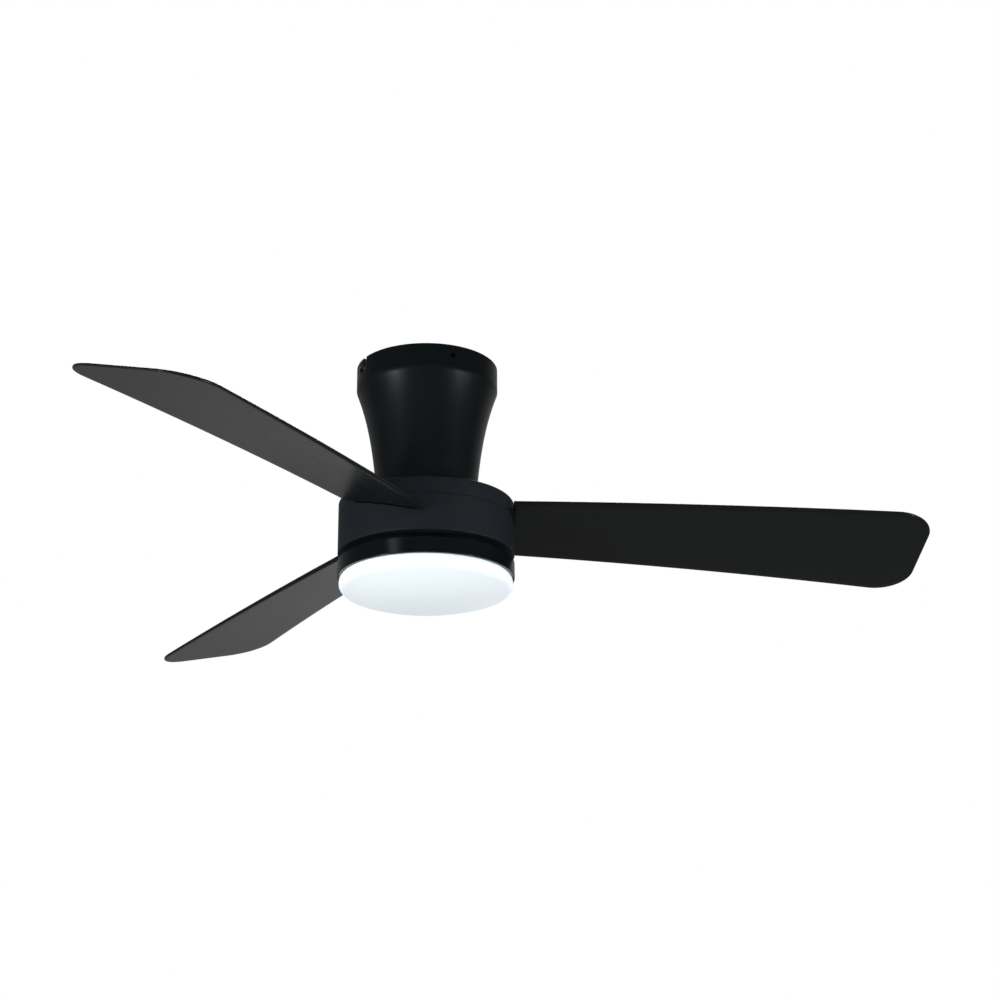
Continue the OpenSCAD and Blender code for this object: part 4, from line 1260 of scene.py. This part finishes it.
@dataclass
class Light(Assembly):
    """The fixed trim ring and the opal diffuser that twists into it."""

    ring_r: float = 115.5
    ring_top: float = -272.9
    ring_bottom: float = -293.9
    ring_t: float = 2.0
    pan_r: float = 104.0
    lens_r: float = 113.2
    lens_depth: float = 36.0
    lens_t: float = 2.0
    lip_t: float = 2.0
    neck_step: float = 2.9
    neck_h: float = 12.0
    shoulder_h: float = 8.0
    corner_h: float = 9.5
    corner_w: float = 7.0
    corner_turn: float = 68.0
    lugs: int = 3
    lug_angle: float = 12.0
    lug_h: float = 2.5
    fit_gap: float = 0.3
    ring_round: float = 0.9

    @property
    def neck_r(self) -> float:
        """Radius of the diffuser where it passes the ring's lip."""
        return self.lens_r - self.neck_step

    def ring_profile(self) -> np.ndarray:
        """Closed section of the trim ring: wall, inward flange on top, lip at the bottom.

        Returns:
            Radius and height of each point, clockwise.
        """
        r, t, top, low = self.ring_r, self.ring_t, self.ring_top, self.ring_bottom
        inner, lip = self.pan_r + self.fit_gap, self.neck_r + 0.4
        c = self.ring_round
        return np.vstack([
            line(inner, top, r - c - 0.5, top, 5),
            arc(r - c, top - c, c, 90, 0, 8),
            line(r, top - c - 0.3, r, low + c + 0.3, 14),
            arc(r - c, low + c, c, 0, -90, 8),
            line(r - c - 0.3, low, lip + 0.3, low, 4),
            arc(lip + 0.3, low + 0.3, 0.3, -90, -180, 4),
            line(lip, low + 0.5, lip, low + self.lip_t, 4),
            line(lip + 0.2, low + self.lip_t, r - t, low + self.lip_t, 4),
            line(r - t, low + self.lip_t + 0.2, r - t, top - t, 8),
            line(r - t - 0.2, top - t, inner, top - t, 5)])

    def lens_outline(self, inset: float, count: int = 64) -> np.ndarray:
        """Half profile of the diffuser: neck, shoulder, round corner and a spherical dome.

        The shoulder is a quarter of an ellipse, and the corner is an arc of one that stops at the
        dome. With sag s at radius e, the dome's sphere has radius (e^2 + s^2) / 2s.

        Args:
            inset: thickness to step inwards by.
            count: number of points along the dome.

        Returns:
            Radius and height of each point, from the neck to the middle of the dome.
        """
        low = self.ring_bottom
        shoulder = low - self.shoulder_h
        edge_r, edge_z = self.lens_r - self.corner_w, shoulder - self.corner_h
        bottom = low - self.lens_depth
        sag = edge_z - bottom
        sphere = (edge_r ** 2 + sag ** 2) / (2 * sag)
        half = math.asin(edge_r / sphere)
        a = np.linspace(0, math.pi / 2, 14)[1:]
        swell = np.stack([self.neck_r + (self.lens_r - self.neck_r) * np.sin(a) - inset,
                          low - 0.4 + (shoulder - low + 0.4) * (1 - np.cos(a))], -1)
        turn = math.radians(self.corner_turn)
        b = np.linspace(0, turn, 18)[1:]
        run, fall = (1 - np.cos(b)) / (1 - math.cos(turn)), np.sin(b) / math.sin(turn)
        corner = np.stack([self.lens_r - inset - (self.lens_r - edge_r) * run,
                           shoulder - (shoulder - edge_z - inset) * fall], -1)
        g = half * np.linspace(1, 0, count)[1:]
        dome = np.stack([(sphere - inset) * np.sin(g), bottom + sphere - (sphere - inset) * np.cos(g)], -1)
        return np.vstack([[[self.neck_r - inset, low - 0.4]], swell, corner, dome])

    def lens(self) -> Mesh:
        """The diffuser: a rim tube, the dome's two skins and the bayonet lugs.

        Returns:
            The closed mesh.
        """
        outer, inner = self.lens_outline(0.0), self.lens_outline(self.lens_t)
        top = self.ring_bottom + self.neck_h
        r = self.neck_r
        rim = np.vstack([line(r - self.lens_t, top - 0.5, r - self.lens_t + 0.5, top, 3),
                         line(r - 0.5, top, r, top - 0.5, 3), line(r, top - 1.5, r, self.ring_bottom, 6)])
        profile = np.vstack([rim, outer, inner[::-1]])
        mesh = revolve(profile, azimuths(192), closed=True)
        lug_r = self.ring_r - self.ring_t - 0.7
        z = self.ring_bottom + self.lip_t + self.fit_gap
        for i in range(self.lugs):
            azimuth = 360 * i / self.lugs
            mesh = mesh.joined(curved_block(r - self.lens_t / 2, lug_r, z, z + self.lug_h, azimuth,
                                            self.lug_angle))
        return mesh

    def ring(self) -> Mesh:
        """The trim ring, a turned section."""
        return revolve(self.ring_profile(), azimuths(240), closed=True)

    def build(self) -> list[Piece]:
        """The ring and the diffuser."""
        return [Piece(make_object("light_trim_ring", self.ring()), "ring_gloss", Body.FIXED, ["trim_ring"]),
                Piece(make_object("opal_diffuser", self.lens()), "opal", Body.LENS, ["diffuser"])]


@dataclass
class CrispParts(Assembly):
    """Stamped and moulded parts whose CAD shape is right: copies that get softened edges."""

    slots: dict[str, str]
    widths: dict[str, float] = field(default_factory=lambda: {
        "ceiling_bracket": 0.35, "terminal_block": 0.4, "receiver_case": 1.2, "receiver_strap": 0.3,
        "shaft_flange": 0.5, "pan_nut": 0.4, "led_driver": 0.8, "led_plate": 0.3, "blade_carrier": 0.6})
    bodies: dict[str, Body] = field(default_factory=lambda: {"blade_carrier": Body.ROTOR})

    def build(self) -> list[Piece]:
        """A softened copy of each part, standing for its node."""
        return [Piece(self.copy(node, width), self.slots[node], self.bodies.get(node, Body.FIXED), [node])
                for node, width in self.widths.items()]

    @staticmethod
    def copy(node: str, width: float) -> bpy.types.Object:
        """Merges a node's loose triangles into faces and softens the edges between them.

        Args:
            node: the CAD node.
            width: the softened edge's width in millimetres.

        Returns:
            The copy.
        """
        source = frame["nodes"][node]
        data = source.data.copy()
        data.name = f"{node}_finished"
        bm = bmesh.new()
        bm.from_mesh(data)
        bmesh.ops.remove_doubles(bm, verts=bm.verts, dist=0.002 * MM)
        bmesh.ops.dissolve_limit(bm, angle_limit=math.radians(0.5), verts=bm.verts, edges=bm.edges)
        for f in bm.faces:
            f.smooth = True
        bm.to_mesh(data)
        bm.free()
        data.set_sharp_from_angle(angle=math.radians(35))
        obj = bpy.data.objects.new(data.name, data)
        bpy.context.scene.collection.objects.link(obj)
        bevel(obj, width)
        return obj


# ---- studio ----------------------------------------------------------------------------


@dataclass(frozen=True)
class Lamp:
    """A rectangular lamp that faces a point: sizes in millimetres, power in watts."""

    name: str
    at: tuple[float, float, float]
    aim: tuple[float, float, float]
    width: float
    height: float
    power: float
    mirrored: bool = True
    colour: tuple[float, float, float] = (0.9, 0.96, 1.0)

    def build(self) -> None:
        """Puts the lamp into the scene; glossy surfaces show it only if it's mirrored."""
        data = bpy.data.lights.new(self.name, "AREA")
        data.shape = "RECTANGLE"
        data.size, data.size_y = self.width * MM, self.height * MM
        data.energy = self.power
        data.color = self.colour
        lamp = bpy.data.objects.new(self.name, data)
        lamp.location = Vector(self.at) * MM
        lamp.rotation_euler = (Vector(self.aim) - Vector(self.at)).to_track_quat("-Z", "Y").to_euler()
        lamp.visible_glossy = self.mirrored
        bpy.context.scene.collection.objects.link(lamp)


@dataclass
class Studio:
    """White surroundings, soft boxes in front and behind, broad fills, a pale floor and the camera."""

    camera_at: tuple[float, float, float] = (-61.1, -2408.3, -1048.3)
    heading: float = 3.76
    tilt: float = 19.735
    roll: float = -0.44
    focal: float = 69.78
    floor_z: float = -2450.0
    floor_half: float = 14000.0
    lamps: tuple[Lamp, ...] = (
        Lamp("soft_box_left", (-2150.0, -1500.0, -1230.0), (0.0, 0.0, -150.0), 450.0, 550.0, 28.0),
        Lamp("soft_box_right", (2000.0, -1350.0, -1230.0), (0.0, 0.0, -150.0), 450.0, 550.0, 25.0),
        Lamp("front_fill", (0.0, -3200.0, -300.0), (0.0, 0.0, -300.0), 2600.0, 1400.0, 50.0, False),
        Lamp("left_fill", (-2600.0, -900.0, -300.0), (0.0, 0.0, -250.0), 1200.0, 1400.0, 48.0, False),
        Lamp("right_fill", (2600.0, -900.0, -300.0), (0.0, 0.0, -250.0), 1200.0, 1400.0, 27.0, False),
        Lamp("rear_box", (0.0, 2300.0, 2100.0), (0.0, 0.0, -200.0), 2400.0, 1600.0, 110.0))
    dome_levels: tuple[tuple[float, float], ...] = (
        (0.0, 0.035), (0.3, 0.035), (0.45, 0.05), (0.6, 0.035), (1.0, 0.03))
    low_levels: tuple[tuple[float, float], ...] = ((0.0, 0.2), (0.3, 0.2), (0.4, 0.0))
    band_levels: tuple[tuple[float, float], ...] = (
        (0.32, 0.0), (0.4, 0.34), (0.45, 0.4), (0.51, 0.5), (0.57, 0.38), (0.74, 0.34), (0.82, 0.0))
    across_levels: tuple[tuple[float, float], ...] = (
        (0.4, 0.36), (0.4635, 0.74), (0.51, 0.7), (0.56, 1.15), (0.62, 1.1), (0.7, 0.7))

    def build(self) -> None:
        """Makes all of it."""
        self.world()
        self.floor()
        for lamp in self.lamps:
            lamp.build()
        self.camera()
        view = bpy.context.scene.view_settings
        view.view_transform = "Standard"
        view.look = "None"
        view.exposure = 0.0
        view.gamma = 1.0

    def world(self) -> None:
        """White to the eye; to surfaces, a dim dome with a brighter band low on the far side.

        Along a direction (x, y, z) the level is dome(z) + far(y) * (band(z) * across(x) + low(z)).
        """
        world = bpy.data.worlds.new("studio")
        bpy.context.scene.world = world
        world.use_nodes = True
        tree = world.node_tree
        tree.nodes.clear()
        link = tree.links.new
        out, mix, path, coord, split = (tree.nodes.new(kind) for kind in (
            "ShaderNodeOutputWorld", "ShaderNodeMixShader", "ShaderNodeLightPath", "ShaderNodeTexCoord",
            "ShaderNodeSeparateXYZ"))
        seen, lit = tree.nodes.new("ShaderNodeBackground"), tree.nodes.new("ShaderNodeBackground")
        seen.inputs["Color"].default_value = (1, 1, 1, 1)
        link(coord.outputs["Generated"], split.inputs["Vector"])
        rise, across = (self.spread(tree, split.outputs[axis], -1.0, 1.0) for axis in "ZX")
        far = self.spread(tree, split.outputs["Y"], 0.3, 0.9)
        band = self.joined(tree, "MULTIPLY", self.levels(tree, rise, self.band_levels),
                           self.levels(tree, across, self.across_levels))
        band = self.joined(tree, "ADD", band, self.levels(tree, rise, self.low_levels))
        total = self.joined(tree, "ADD", self.levels(tree, rise, self.dome_levels),
                            self.joined(tree, "MULTIPLY", band, far))
        link(total, lit.inputs["Strength"])
        lit.inputs["Color"].default_value = (1, 1, 1, 1)
        link(path.outputs["Is Camera Ray"], mix.inputs["Fac"])
        link(lit.outputs["Background"], mix.inputs[1])
        link(seen.outputs["Background"], mix.inputs[2])
        link(mix.outputs["Shader"], out.inputs["Surface"])

    @staticmethod
    def spread(tree: bpy.types.NodeTree, value: bpy.types.NodeSocket, low: float,
               high: float) -> bpy.types.NodeSocket:
        """A value carried from a low and a high end to 0 and 1.

        Args:
            tree: the nodes to add to.
            value: the value.
            low: what becomes 0.
            high: what becomes 1.

        Returns:
            The new value.
        """
        node = tree.nodes.new("ShaderNodeMapRange")
        node.inputs["From Min"].default_value, node.inputs["From Max"].default_value = low, high
        tree.links.new(value, node.inputs["Value"])
        return node.outputs["Result"]

    @staticmethod
    def joined(tree: bpy.types.NodeTree, operation: str, a: bpy.types.NodeSocket,
               b: bpy.types.NodeSocket) -> bpy.types.NodeSocket:
        """Two values added or multiplied.

        Args:
            tree: the nodes to add to.
            operation: ADD or MULTIPLY.
            a: one value.
            b: the other.

        Returns:
            The result.
        """
        node = tree.nodes.new("ShaderNodeMath")
        node.operation = operation
        tree.links.new(a, node.inputs[0])
        tree.links.new(b, node.inputs[1])
        return node.outputs[0]

    @staticmethod
    def levels(tree: bpy.types.NodeTree, factor: bpy.types.NodeSocket,
               stops: Sequence[tuple[float, float]]) -> bpy.types.NodeSocket:
        """A grey ramp over a factor.

        Args:
            tree: the nodes to add to.
            factor: the value to look up.
            stops: places and their levels.

        Returns:
            The level.
        """
        node = tree.nodes.new("ShaderNodeValToRGB")
        elements = node.color_ramp.elements
        while len(elements) < len(stops):
            elements.new(0.5)
        for element, (place, level) in zip(elements, stops):
            element.position, element.color = place, (level, level, level, 1)
        tree.links.new(factor, node.inputs["Fac"])
        return node.outputs["Color"]

    def floor(self) -> None:
        """A wide pale floor far below the fan."""
        z, side = self.floor_z, self.floor_half
        mesh = Mesh(np.array([[-side, -side, z], [side, -side, z], [side, side, z], [-side, side, z]]),
                    np.array([[0, 1, 2, 3]]))
        floor = make_object("floor", mesh, smooth=False)
        n = Nodes("pale_floor")
        n.link(n.mixed(n.noise(n.place((1, 1, 1)), 3.0), (0.83, 0.83, 0.83), (0.86, 0.86, 0.86)),
               n.shader.inputs["Base Color"])
        n.set(Roughness=0.8, Emission_Color=(0.86, 0.86, 0.86, 1.0), Emission_Strength=0.75)
        floor.data.materials.append(n.material)
        floor.visible_glossy = False
        floor.visible_diffuse = False

    def camera(self) -> None:
        """The camera: below the fan, looking up at it."""
        data = bpy.data.cameras.new("camera")
        data.sensor_width = 36.0
        data.lens = self.focal
        data.clip_start, data.clip_end = 0.05, 100.0
        camera = bpy.data.objects.new("camera", data)
        bpy.context.scene.collection.objects.link(camera)
        yaw, tilt, roll = (math.radians(v) for v in (self.heading, self.tilt, self.roll))
        ahead = Vector((math.sin(yaw) * math.cos(tilt), math.cos(yaw) * math.cos(tilt), math.sin(tilt)))
        right = Vector((math.cos(yaw), -math.sin(yaw), 0.0))
        up = right.cross(ahead)
        right_r = right * math.cos(roll) + up * math.sin(roll)
        up_r = right_r.cross(ahead)
        matrix = np.eye(4)
        for i, axis in enumerate((right_r, up_r, -ahead)):
            matrix[:3, i] = axis
        matrix[:3, 3] = np.array(self.camera_at) * MM
        camera.matrix_world = Matrix(matrix.tolist())
        bpy.context.scene.camera = camera


def main() -> None:
    """Builds every sub-assembly in order, dresses the rest of the CAD nodes and sets the studio."""
    logging.basicConfig(level=logging.INFO, format="%(name)s %(message)s")
    finishes = Finishes()
    slots = {row["node"]: row["material_slot"] for row in frame["record"]["subparts"]}
    blades = Blades()
    replaced: set[str] = set()
    for assembly in (Canopy(), blades, Drum(blades), Light(), CrispParts(slots)):
        pieces = assembly.build()
        assembly.dress(pieces, finishes)
        replaced.update(node for piece in pieces for node in piece.stands_for)
    for node, obj in frame["nodes"].items():
        if node not in replaced:
            finishes.dress(obj, slots[node])
            LOG.info("%s: carried over, finished as %s", node, slots[node])
    Studio().build()


if __name__ == "__main__":
    main()
